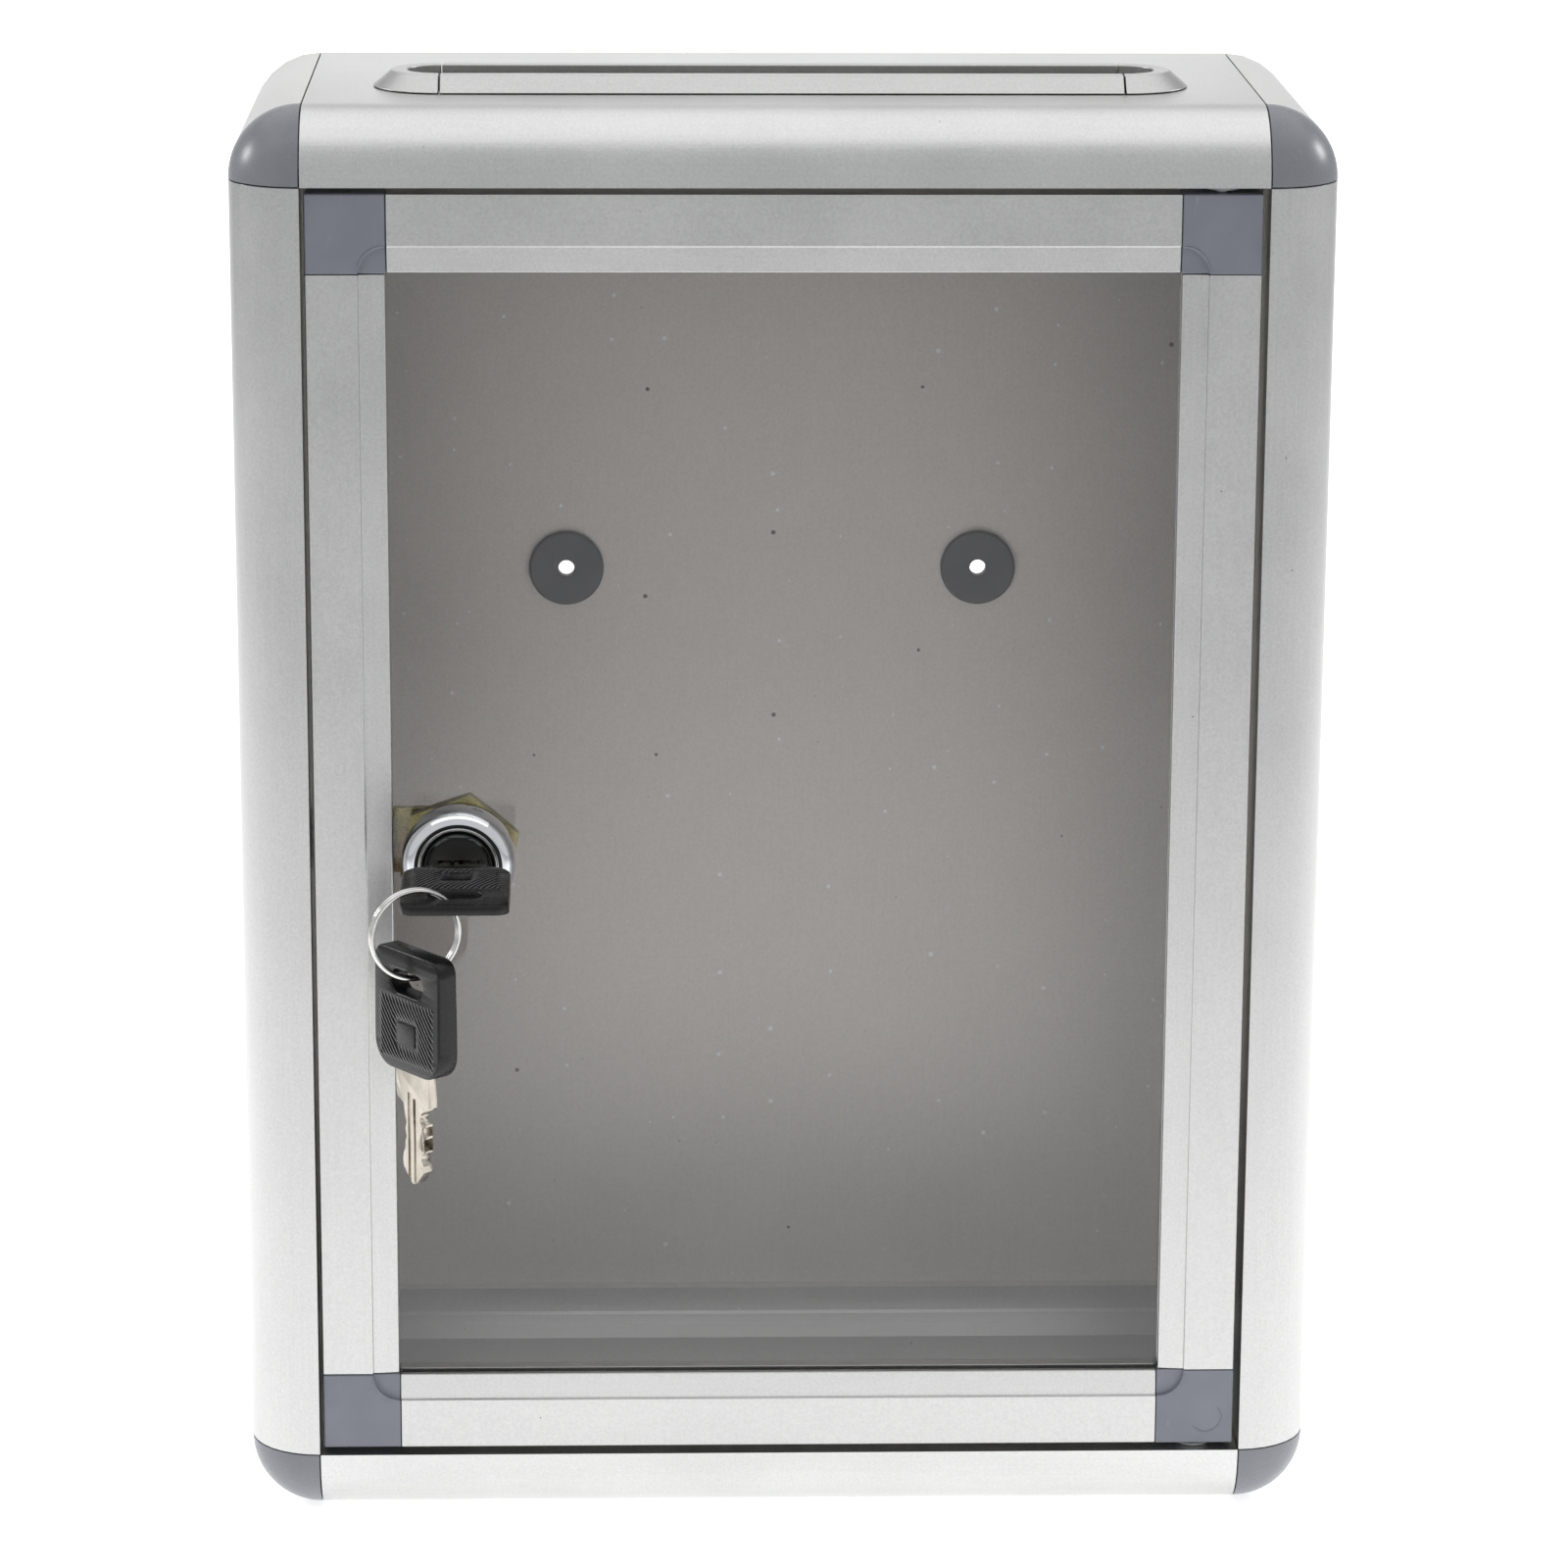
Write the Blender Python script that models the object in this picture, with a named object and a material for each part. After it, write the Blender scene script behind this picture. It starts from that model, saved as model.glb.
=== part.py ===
"""A lockable donation box with a clear hinged door, a slotted lid, a cam lock and two keys on a split ring.

The frame: origin at the centre of the base, +X to the right, -Y to the front, +Z up, in metres.
"""

import math

import bmesh
import bpy
from mathutils import Matrix, Vector

# ---- Case -------------------------------------------------------------------------------------
WIDTH, DEPTH, HEIGHT = 0.225, 0.095, 0.300
FRONT = -DEPTH / 2
CORNER_R = 0.015  # radius of every rounded case edge, and the width of the frame round the door
WALL = 0.0016
LIP_DEPTH = 0.0145  # how far the lip at the door opening turns back
JOINT_GAP = 0.00015  # half the gap at each joint line
PANEL = 0.0015
SEAM = 0.0003
WALLS_END = DEPTH - PANEL - SEAM  # rear end of the walls, measured from the front
STEP_FRONT, STEP_HEIGHT = 0.080, 0.0119  # hollow step at the rear of each wall
FLANGE_FRONT, FLANGE_HEIGHT = 0.090, 0.0202
BEAD_HEIGHT, BEAD_DEPTH = 0.0147, 0.0012
OPENING_X = WIDTH / 2 - CORNER_R  # half the width of the door opening

POST_INNER_R = 0.0116
BOSS_CENTRE, BOSS_R, BORE_R = 0.0065, 0.0036, 0.0015
TONGUE = (0.0117, 0.0131)  # inner and outer face of a post's tongue, from the corner's arc centre
TONGUE_REACH = 0.006
PEG_R, PEG_LENGTH = 0.0012, 0.008

SCREW_R, SCREW_HEAD_R, SCREW_LENGTH = 0.0012, 0.0027, 0.012
GROMMET_X, GROMMET_Z = 0.0453, 0.187
GROMMET_R, GROMMET_NECK_R, GROMMET_HOLE_R = 0.0082, 0.0039, 0.00175

# ---- Coin slot --------------------------------------------------------------------------------
SLOT_Y = FRONT + 0.0415
SLOT_STRAIGHT = 0.0702  # half the length of the straight strips
TRIM_OUTER, TRIM_CREST, TRIM_INNER = 0.0139, 0.0100, 0.0067
TRIM_HEIGHT, TRIM_LEG, TRIM_LEG_THICK = 0.0035, 0.0036, 0.0012
TRIM_GAP = 0.0002

# ---- Door -------------------------------------------------------------------------------------
DOOR_LEFT, DOOR_RIGHT = -0.0966, 0.0961
DOOR_BOTTOM, DOOR_TOP = 0.0164, 0.2836
DOOR_FRONT = FRONT + 0.001
DOOR_THICK = 0.009
MEMBER = 0.0160  # visible width of a frame member
BODY = 0.0106  # width of its hollow body; the rest holds the pane
SKIN = 0.0014
GROOVE_FRONT, GROOVE_BACK = 0.0026, 0.0061
PANE_FRONT, PANE_BACK = 0.00285, 0.00585
PANE_INSET = 0.0124  # from the door's edge to the pane's edge
KEY_LENGTH = 0.012  # how far a corner piece reaches into a member
HINGE_X = DOOR_RIGHT - MEMBER / 2
HINGE_Y = DOOR_FRONT + DOOR_THICK / 2
PIN_R, PIN_BORE_R, BUSH_R, BUSH_FLANGE_R = 0.00125, 0.00142, 0.0023, 0.0035

# ---- Cam lock, with Y measured from the case's front plane --------------------------------------
LOCK_X, LOCK_Z = -0.0669, 0.1450
HEAD_R, HEAD_FACE_R, BARREL_R, BARREL_FLAT = 0.0118, 0.0091, 0.0094, 0.0083
HEAD_FRONT, HEAD_REAR, BARREL_REAR = -0.0032, 0.0036, 0.0149
PLUG_R, PLUG_BORE_R = 0.0070, 0.0072
PLUG_FRONT, PLUG_REAR = -0.0029, 0.0150
TANG, TANG_REAR, STUD_R, STUD_REAR = 0.00375, 0.0170, 0.00275, 0.0206
KEYWAY_HALF, KEYWAY_HEIGHT, KEYWAY_END = 0.0042, 0.0026, 0.0139
NUT_R, NUT_FRONT, NUT_THICK, NUT_TURN = 0.0133, 0.0071, 0.0035, math.radians(-10)
CAM_FRONT, CAM_THICK, CAM_HALF, CAM_HUB_R, CAM_TIP_X = 0.0152, 0.0016, 0.0070, 0.0085, -0.0962
CAM_RISE = 0.0012  # the arm's middle above the plug's axis
CAM_NUT_R, CAM_NUT_THICK = 0.0050, 0.0030

# ---- Keys and ring ------------------------------------------------------------------------------
BOW_LENGTH, BOW_HALF, BOW_THICK, BOW_END_THICK, BOW_TAPER = 0.0253, 0.0110, 0.0052, 0.0024, 0.009
BLADE_THICK, TANG_HALF, TANG_DEPTH = 0.0022, 0.0040, 0.0075
SHOULDER_HALF, SHOULDER_LENGTH, BLADE_HALF, BLADE_LENGTH = 0.0056, 0.0070, 0.0037, 0.0168
CUT_DEPTHS = (0.0011, 0.0005, 0.0014, 0.0008)
EYE_HALF, EYE_R, EYE_INSET = 0.0050, 0.0022, 0.0066
KEY_FACE_Y = FRONT - 0.0032 - SHOULDER_LENGTH - SEAM  # where the bow of the key in the lock begins
RING_R, RING_RADIAL, RING_AXIAL = 0.0092, 0.0006, 0.0010
RING_TURN = math.radians(20)
RING_CENTRE = Vector((-0.0749, FRONT - 0.0317, 0.13905))
SPARE_TURN = math.radians(-52)
SPARE_DROP = 0.0013  # from the ring's wire to the edge of the spare key's eye

ARC_STEPS = 8
ROUND_STEPS = 32


# ---- Materials ----------------------------------------------------------------------------------
def material(name, colour, roughness, metallic=0.0, alpha=1.0):
    made = bpy.data.materials.new(name)
    made.use_nodes = True
    shader = made.node_tree.nodes["Principled BSDF"]
    shader.inputs["Base Color"].default_value = (*colour, 1.0)
    shader.inputs["Roughness"].default_value = roughness
    shader.inputs["Metallic"].default_value = metallic
    shader.inputs["Alpha"].default_value = alpha
    return made


# ---- Outlines and solids ------------------------------------------------------------------------
def arc(centre, radius, start, end, steps=ARC_STEPS):
    """Points of an arc from one angle to another, in degrees."""
    angles = [math.radians(start + (end - start) * i / steps) for i in range(steps + 1)]
    return [(centre[0] + radius * math.cos(a), centre[1] + radius * math.sin(a)) for a in angles]


def circle(radius, centre=(0.0, 0.0), steps=ROUND_STEPS, turn=0.0):
    return arc(centre, radius, turn, turn + 360 * (1 - 1 / steps), steps - 1)


def rectangle(low_p, low_q, high_p, high_q):
    return [(low_p, low_q), (high_p, low_q), (high_p, high_q), (low_p, high_q)]


def rounded_rectangle(low_p, low_q, high_p, high_q, radii, steps=4):
    """A rectangle whose corners, from lower left anticlockwise, have these radii."""
    lower_left, lower_right, upper_right, upper_left = radii
    return (
        arc((low_p + lower_left, low_q + lower_left), lower_left, 180, 270, steps)
        + arc((high_p - lower_right, low_q + lower_right), lower_right, 270, 360, steps)
        + arc((high_p - upper_right, high_q - upper_right), upper_right, 0, 90, steps)
        + arc((low_p + upper_left, high_q - upper_left), upper_left, 90, 180, steps)
    )


def stadium(half_length, radius, centre=(0.0, 0.0), steps=ARC_STEPS):
    """A slot outline: half_length is from its centre to the centre of a round end."""
    x, y = centre
    return arc((x + half_length, y), radius, -90, 90, steps) + arc((x - half_length, y), radius, 90, 270, steps)


def along_x(p, q, t):
    return (t, p, q)


def along_y(p, q, t):
    return (p, t, q)


def along_z(p, q, t):
    return (p, q, t)


def extruded(outline, start, end, place):
    """A closed prism: each outline point (p, q) is placed at the distances start and end."""
    shape = bmesh.new()
    rings = [[shape.verts.new(place(p, q, t)) for p, q in outline] for t in (start, end)]
    shape.faces.new(rings[0])
    shape.faces.new(rings[1])
    for i in range(len(outline)):
        j = (i + 1) % len(outline)
        shape.faces.new((rings[0][i], rings[0][j], rings[1][j], rings[1][i]))
    bmesh.ops.recalc_face_normals(shape, faces=shape.faces)
    return shape


def turned(profile, place, steps=ROUND_STEPS, sweep=360.0, first=0.0):
    """A turned solid of (radius, distance) points. A full turn closes; a part turn has flat ends."""
    whole = sweep >= 360.0
    shape = bmesh.new()
    count = steps if whole else steps + 1
    columns = []
    poles = {}
    for i in range(count):
        angle = math.radians(first + sweep * i / steps)
        column = []
        for k, (radius, distance) in enumerate(profile):
            if radius == 0.0 and k in poles:
                column.append(poles[k])
                continue
            vertex = shape.verts.new(place(radius * math.cos(angle), radius * math.sin(angle), distance))
            if radius == 0.0:
                poles[k] = vertex
            column.append(vertex)
        columns.append(column)
    hollow = profile[0][0] > 0.0
    spans = len(profile) if hollow else len(profile) - 1
    for i in range(steps):
        here, there = columns[i], columns[(i + 1) % count]
        for k in range(spans):
            m = (k + 1) % len(profile)
            corners = dict.fromkeys((here[k], there[k], there[m], here[m]))
            shape.faces.new(list(corners))
    if not whole:
        shape.faces.new(columns[0])
        shape.faces.new(columns[-1])
    bmesh.ops.recalc_face_normals(shape, faces=shape.faces)
    return shape


def box(low, high):
    return extruded(rectangle(low[0], low[1], high[0], high[1]), low[2], high[2], along_z)


def new_object(name, shape, finish, pivot=(0.0, 0.0, 0.0), matrix=None):
    """Makes an object of this shape, with its origin at the pivot."""
    if matrix is not None:
        bmesh.ops.transform(shape, matrix=matrix, verts=shape.verts)
    bmesh.ops.translate(shape, vec=-Vector(pivot), verts=shape.verts)
    mesh = bpy.data.meshes.new(name)
    shape.to_mesh(mesh)
    shape.free()
    mesh.materials.append(finish)
    mesh.shade_smooth()
    mesh.set_sharp_from_angle(angle=math.radians(35))
    made = bpy.data.objects.new(name, mesh)
    made.location = pivot
    bpy.context.scene.collection.objects.link(made)
    return made


def helper(name, shape, matrix=None):
    """A shape that only takes part in Booleans."""
    made = new_object(name, shape, HELPER, matrix=matrix)
    made.hide_render = True
    made.display_type = "WIRE"
    return made


def combine(target, operation, other):
    modifier = target.modifiers.new(f"{operation.lower()}_{other.name}", "BOOLEAN")
    modifier.operation = operation
    modifier.solver = "EXACT"
    modifier.object = other


def cut(target, other):
    combine(target, "DIFFERENCE", other)


def join(target, other):
    combine(target, "UNION", other)


# ---- Case walls ---------------------------------------------------------------------------------
def wall_section():
    """Section of the wall extrusion as (distance inwards, distance back from the front plane)."""
    lip_inner = CORNER_R - WALL
    lip_start = CORNER_R - math.sqrt(lip_inner**2 - WALL**2)
    arc_end = 180 + math.degrees(math.acos(WALL / lip_inner))
    back_of_step = STEP_HEIGHT - WALL
    centre = (CORNER_R, CORNER_R)
    return (
        [(0.0, WALLS_END)]
        + arc(centre, CORNER_R, 180, 270)
        + [(CORNER_R, LIP_DEPTH), (lip_inner, LIP_DEPTH), (lip_inner, lip_start)]
        + arc(centre, lip_inner, arc_end, 180)[1:]
        + [
            (WALL, STEP_FRONT),
            (STEP_HEIGHT, STEP_FRONT),
            (STEP_HEIGHT, FLANGE_FRONT - BEAD_DEPTH),
            (BEAD_HEIGHT - 0.0004, FLANGE_FRONT - BEAD_DEPTH),
            (BEAD_HEIGHT, FLANGE_FRONT),
            (FLANGE_HEIGHT, FLANGE_FRONT),
            (FLANGE_HEIGHT, WALLS_END),
            (back_of_step, WALLS_END),
            (back_of_step, STEP_FRONT + WALL),
            (WALL, STEP_FRONT + WALL),
            (WALL, WALLS_END),
        ]
    )


def make_walls():
    section = wall_section()
    half = OPENING_X - JOINT_GAP
    low, high = CORNER_R + JOINT_GAP, HEIGHT - CORNER_R - JOINT_GAP
    top = new_object(
        "top_wall", extruded(section, -half, half, lambda a, b, t: (t, FRONT + b, HEIGHT - a)), ALUMINIUM
    )
    bottom = new_object(
        "bottom_wall", extruded(section, -half, half, lambda a, b, t: (t, FRONT + b, a)), ALUMINIUM
    )
    left = new_object(
        "left_wall", extruded(section, low, high, lambda a, b, t: (a - WIDTH / 2, FRONT + b, t)), ALUMINIUM
    )
    right = new_object(
        "right_wall", extruded(section, low, high, lambda a, b, t: (WIDTH / 2 - a, FRONT + b, t)), ALUMINIUM
    )
    slot = stadium(SLOT_STRAIGHT, TRIM_INNER + TRIM_LEG_THICK + 0.0003, (0.0, SLOT_Y))
    cut(top, helper("slot_cutter", extruded(slot, HEIGHT - 0.01, HEIGHT + 0.01, along_z)))
    # The side flanges stop short of the top and bottom flanges.
    trim_x = OPENING_X + 0.0002
    for name, base in (("upper", HEIGHT - FLANGE_HEIGHT - SEAM), ("lower", 0.0)):
        low_corner = (-trim_x, FRONT + FLANGE_FRONT - 0.002, base)
        high_corner = (trim_x, DEPTH / 2, base + FLANGE_HEIGHT + SEAM)
        trim = helper(f"{name}_flange_trim", box(low_corner, high_corner))
        cut(left, trim)
        cut(right, trim)
    for wall, start in ((top, HEIGHT - CORNER_R - 0.002), (bottom, CORNER_R - 0.006)):
        hole = extruded(circle(BUSH_R + 0.0003, (HINGE_X, HINGE_Y), 20), start, start + 0.008, along_z)
        cut(wall, helper(f"{wall.name}_bush_hole", hole))


# ---- Corner posts and caps ----------------------------------------------------------------------
def corner_place(side, level):
    """Places (outwards, up or down, distance back) about a corner's arc centre."""
    centre_z = HEIGHT - CORNER_R if level > 0 else CORNER_R
    return lambda u, v, t: (side * (OPENING_X + u), FRONT + t, centre_z + level * v)


def post_section():
    """A quarter ring with a round boss inside it, about the corner's arc centre."""
    end = math.degrees(math.asin(JOINT_GAP / CORNER_R))
    inner_end = math.degrees(math.asin(JOINT_GAP / POST_INNER_R))
    reach = math.hypot(BOSS_CENTRE, BOSS_CENTRE)
    at_centre = (reach**2 + POST_INNER_R**2 - BOSS_R**2) / (2 * reach * POST_INNER_R)
    spread = math.degrees(math.acos(at_centre))
    at_boss = (POST_INNER_R**2 - reach**2 - BOSS_R**2) / (2 * reach * BOSS_R)
    turn = math.degrees(math.acos(at_boss))
    middle = (0.0, 0.0)
    boss = arc((BOSS_CENTRE, BOSS_CENTRE), BOSS_R, 45 + turn, 405 - turn, 12)
    return (
        arc(middle, CORNER_R, end, 90 - end)
        + arc(middle, POST_INNER_R, 90 - inner_end, 45 + spread, 3)[:-1]
        + boss
        + arc(middle, POST_INNER_R, 45 - spread, inner_end, 3)[1:]
    )


def make_post(name, side, level):
    place = corner_place(side, level)
    start = CORNER_R + SEAM
    post = new_object(f"corner_post_{name}", extruded(post_section(), start, WALLS_END, place), ALUMINIUM)
    reach, inside = -TONGUE_REACH, 0.002
    tongues = {
        "across": rectangle(reach, TONGUE[0], inside, TONGUE[1]),
        "along": rectangle(TONGUE[0], reach, TONGUE[1], inside),
    }
    for kind, outline in tongues.items():
        tongue = extruded(outline, start + 0.001, STEP_FRONT - SEAM, place)
        join(post, helper(f"{name}_tongue_{kind}", tongue))
    bore = extruded(circle(BORE_R, (BOSS_CENTRE, BOSS_CENTRE), 16), 0.0, DEPTH, place)
    cut(post, helper(f"{name}_bore", bore))


def make_cap(name, side, level):
    """An eighth of a ball, with a peg that goes into the post's bore."""
    place = corner_place(side, level)
    steps, radius = 7, CORNER_R - JOINT_GAP
    shape = bmesh.new()

    def point(polar, turn):
        across = JOINT_GAP + radius * math.sin(polar) * math.cos(turn)
        up = JOINT_GAP + radius * math.sin(polar) * math.sin(turn)
        return shape.verts.new(place(across, up, CORNER_R - radius * math.cos(polar)))

    quarter = math.pi / 2
    pole = point(0.0, 0.0)
    rows = [[point(quarter * i / steps, quarter * j / steps) for j in range(steps + 1)] for i in range(1, steps + 1)]
    centre = shape.verts.new(place(JOINT_GAP, JOINT_GAP, CORNER_R))
    for j in range(steps):
        shape.faces.new((pole, rows[0][j], rows[0][j + 1]))
    for upper, lower in zip(rows, rows[1:]):
        for j in range(steps):
            shape.faces.new((upper[j], lower[j], lower[j + 1], upper[j + 1]))
    shape.faces.new([centre, pole] + [row[0] for row in rows])
    shape.faces.new([centre, pole] + [row[-1] for row in rows])
    shape.faces.new([centre] + rows[-1])
    bmesh.ops.recalc_face_normals(shape, faces=shape.faces)
    cap = new_object(f"corner_cap_{name}", shape, GREY_PLASTIC)
    peg = extruded(circle(PEG_R, (BOSS_CENTRE, BOSS_CENTRE), 12), CORNER_R - 0.004, CORNER_R + PEG_LENGTH, place)
    join(cap, helper(f"{name}_peg", peg))


# ---- Back panel ---------------------------------------------------------------------------------
def make_back():
    plate = rounded_rectangle(-WIDTH / 2, 0.0, WIDTH / 2, HEIGHT, (CORNER_R,) * 4, 6)
    front, rear = DEPTH / 2 - PANEL, DEPTH / 2
    panel = new_object("back_panel", extruded(plate, front, rear, along_y), ALUMINIUM)
    for name, side in (("left", -1), ("right", 1)):
        centre = (side * GROMMET_X, GROMMET_Z)
        hole = extruded(circle(GROMMET_NECK_R + 0.0003, centre, 20), front - 0.001, rear + 0.001, along_y)
        cut(panel, helper(f"{name}_grommet_hole", hole))
        profile = [
            (GROMMET_HOLE_R, front - 0.0018),
            (GROMMET_R - 0.001, front - 0.0018),
            (GROMMET_R, front - 0.0011),
            (GROMMET_R, front - 0.0002),
            (GROMMET_NECK_R, front - 0.0002),
            (GROMMET_NECK_R, rear - 0.0002),
            (GROMMET_HOLE_R, rear - 0.0002),
        ]
        place = lambda p, q, t, centre=centre: (centre[0] + p, t, centre[1] + q)
        new_object(f"wall_grommet_{name}", turned(profile, place, 24), DARK_PLASTIC)


def make_panel_screw(name, side, level):
    centre_z = HEIGHT - CORNER_R if level > 0 else CORNER_R
    x, z = side * (OPENING_X + BOSS_CENTRE), centre_z + level * BOSS_CENTRE
    rear = DEPTH / 2
    place = lambda p, q, t: (x + p, t, z + q)
    gap = 0.0003
    sink = [
        (0.0, rear + 0.001),
        (SCREW_HEAD_R + gap, rear + 0.001),
        (SCREW_HEAD_R + gap, rear - 0.0003),
        (SCREW_R + gap, rear - PANEL),
        (SCREW_R + gap, rear - PANEL - 0.001),
        (0.0, rear - PANEL - 0.001),
    ]
    cut(bpy.data.objects["back_panel"], helper(f"{name}_screw_sink", turned(sink, place, 16)))
    profile = [
        (0.0, rear - 0.0002),
        (SCREW_HEAD_R, rear - 0.0002),
        (SCREW_HEAD_R, rear - 0.0004),
        (SCREW_R, rear - PANEL - 0.0001),
        (SCREW_R, rear - SCREW_LENGTH + 0.0015),
        (0.0, rear - SCREW_LENGTH),
    ]
    new_object(f"panel_screw_{name}", turned(profile, place, 16), STEEL)


# ---- Slot trim ----------------------------------------------------------------------------------
def trim_section():
    """Section of the raised collar as (distance from the slot's middle line, height)."""
    base, top = HEIGHT + TRIM_GAP, HEIGHT + TRIM_HEIGHT
    leg_outer = TRIM_INNER + TRIM_LEG_THICK
    return [
        (TRIM_OUTER, base),
        (TRIM_CREST, top),
        (TRIM_INNER, top),
        (TRIM_INNER, HEIGHT - TRIM_LEG),
        (leg_outer, HEIGHT - TRIM_LEG),
        (leg_outer, base),
    ]


def make_slot_trim():
    section = trim_section()
    half = SLOT_STRAIGHT - JOINT_GAP
    for name, side in (("front", -1), ("rear", 1)):
        place = lambda p, q, t, side=side: (t, SLOT_Y + side * p, q)
        new_object(f"slot_trim_{name}", extruded(section, -half, half, place), ALUMINIUM)
    for name, side in (("left", -1), ("right", 1)):
        centre = side * (SLOT_STRAIGHT + JOINT_GAP)
        place = lambda p, q, t, centre=centre: (centre + p, SLOT_Y + q, t)
        shape = turned(section, place, 16, 180.0, -90.0 if side > 0 else 90.0)
        new_object(f"slot_trim_{name}", shape, ALUMINIUM)


# ---- Door ---------------------------------------------------------------------------------------
def member_section():
    """Section of a frame member as (distance from the door's edge, distance back from its face)."""
    return [
        (0.0, 0.0),
        (BODY, 0.0),
        (BODY, 0.0006),
        (MEMBER, 0.0011),
        (MEMBER, GROOVE_FRONT),
        (PANE_INSET - 0.0004, GROOVE_FRONT),
        (PANE_INSET - 0.0004, GROOVE_BACK),
        (MEMBER, GROOVE_BACK),
        (MEMBER, DOOR_THICK),
        (0.0, DOOR_THICK),
    ]


def make_members():
    section = member_section()
    hollow = rectangle(SKIN, SKIN, BODY - SKIN, DOOR_THICK - SKIN)
    trim = MEMBER + 0.0002 + JOINT_GAP
    span_x = (DOOR_LEFT + trim, DOOR_RIGHT - trim)
    span_z = (DOOR_BOTTOM + trim, DOOR_TOP - trim)
    members = {
        "door_rail_top": (span_x, lambda c, d, t: (t, DOOR_FRONT + d, DOOR_TOP - c)),
        "door_rail_bottom": (span_x, lambda c, d, t: (t, DOOR_FRONT + d, DOOR_BOTTOM + c)),
        "door_stile_left": (span_z, lambda c, d, t: (DOOR_LEFT + c, DOOR_FRONT + d, t)),
        "door_stile_right": (span_z, lambda c, d, t: (DOOR_RIGHT - c, DOOR_FRONT + d, t)),
    }
    for name, ((start, end), place) in members.items():
        member = new_object(name, extruded(section, start, end, place), ALUMINIUM, HINGE_PIVOT)
        cut(member, helper(f"{name}_hollow", extruded(hollow, start - 0.001, end + 0.001, place)))


def make_door_corner(name, side, level):
    """A square corner piece with two tongues in the members' hollows and a pocket for the pane."""
    edge_x = DOOR_RIGHT if side > 0 else DOOR_LEFT
    edge_z = DOOR_TOP if level > 0 else DOOR_BOTTOM
    place = lambda c, e, d: (edge_x - side * c, DOOR_FRONT + d, edge_z - level * e)
    size = MEMBER + 0.0002
    corner = new_object(
        f"door_corner_{name}", extruded(rectangle(0, 0, size, size), 0, DOOR_THICK, place), GREY_PLASTIC, HINGE_PIVOT
    )
    low, high = SKIN + 0.0003, BODY - SKIN - 0.0003
    back = DOOR_THICK - SKIN - 0.0003
    tongues = {
        "across": rectangle(size - 0.003, low, size + KEY_LENGTH, high),
        "along": rectangle(low, size - 0.003, high, size + KEY_LENGTH),
    }
    for kind, outline in tongues.items():
        join(corner, helper(f"{name}_key_{kind}", extruded(outline, low, back, place)))
    pane_edge = PANE_INSET - 0.0004
    pocket = rectangle(pane_edge, pane_edge, size + 0.001, size + 0.001)
    cut(corner, helper(f"{name}_pocket", extruded(pocket, GROOVE_FRONT, GROOVE_BACK, place)))
    recess = extruded(circle(size - BODY, (size, size), 24), -0.001, 0.0008, place)
    cut(corner, helper(f"{name}_recess", recess))


def make_pane():
    outline = rectangle(
        DOOR_LEFT + PANE_INSET, DOOR_BOTTOM + PANE_INSET, DOOR_RIGHT - PANE_INSET, DOOR_TOP - PANE_INSET
    )
    shape = extruded(outline, DOOR_FRONT + PANE_FRONT, DOOR_FRONT + PANE_BACK, along_y)
    pane = new_object("door_pane", shape, CLEAR_ACRYLIC, HINGE_PIVOT)
    hole = flatted_circle(BARREL_R + 0.0003, BARREL_FLAT + 0.0003)
    cut(pane, helper("lock_hole", extruded(hole, -0.002, 0.012, lock_place)))


def make_hinge(name, level):
    """A pin in the door's corner piece, and the flanged bush that it turns in."""
    lip_face = HEIGHT - CORNER_R if level > 0 else CORNER_R
    door_edge = DOOR_TOP if level > 0 else DOOR_BOTTOM
    place = lambda p, q, t: (HINGE_X + p, HINGE_Y + q, lip_face + level * t)
    bush = [
        (PIN_BORE_R, -0.0008),
        (BUSH_FLANGE_R, -0.0008),
        (BUSH_FLANGE_R, -0.0001),
        (BUSH_R, -0.0001),
        (BUSH_R, 0.0035),
        (PIN_BORE_R, 0.0035),
    ]
    new_object(f"hinge_bush_{name}", turned(bush, place, 20), DARK_PLASTIC)
    edge = level * (door_edge - lip_face)
    tip, root = 0.0040, edge - 0.009
    pin = [(0.0, root), (PIN_R, root), (PIN_R, tip - 0.0005), (PIN_R - 0.0005, tip), (0.0, tip)]
    new_object(f"hinge_pin_{name}", turned(pin, place, 20), STEEL, HINGE_PIVOT)
    bore = [(0.0, root - 0.0003), (PIN_BORE_R, root - 0.0003), (PIN_BORE_R, 0.0), (0.0, 0.0)]
    cut(bpy.data.objects[f"door_corner_{name}_right"], helper(f"{name}_pin_bore", turned(bore, place, 20)))


# ---- Cam lock -----------------------------------------------------------------------------------
def lock_place(p, q, t):
    return (LOCK_X + p, FRONT + t, LOCK_Z + q)


def flatted_circle(radius, flat):
    """A circle with a flat cut off its top and bottom."""
    end = math.degrees(math.asin(flat / radius))
    return arc((0, 0), radius, -end, end, 10) + arc((0, 0), radius, 180 - end, 180 + end, 10)


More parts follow.
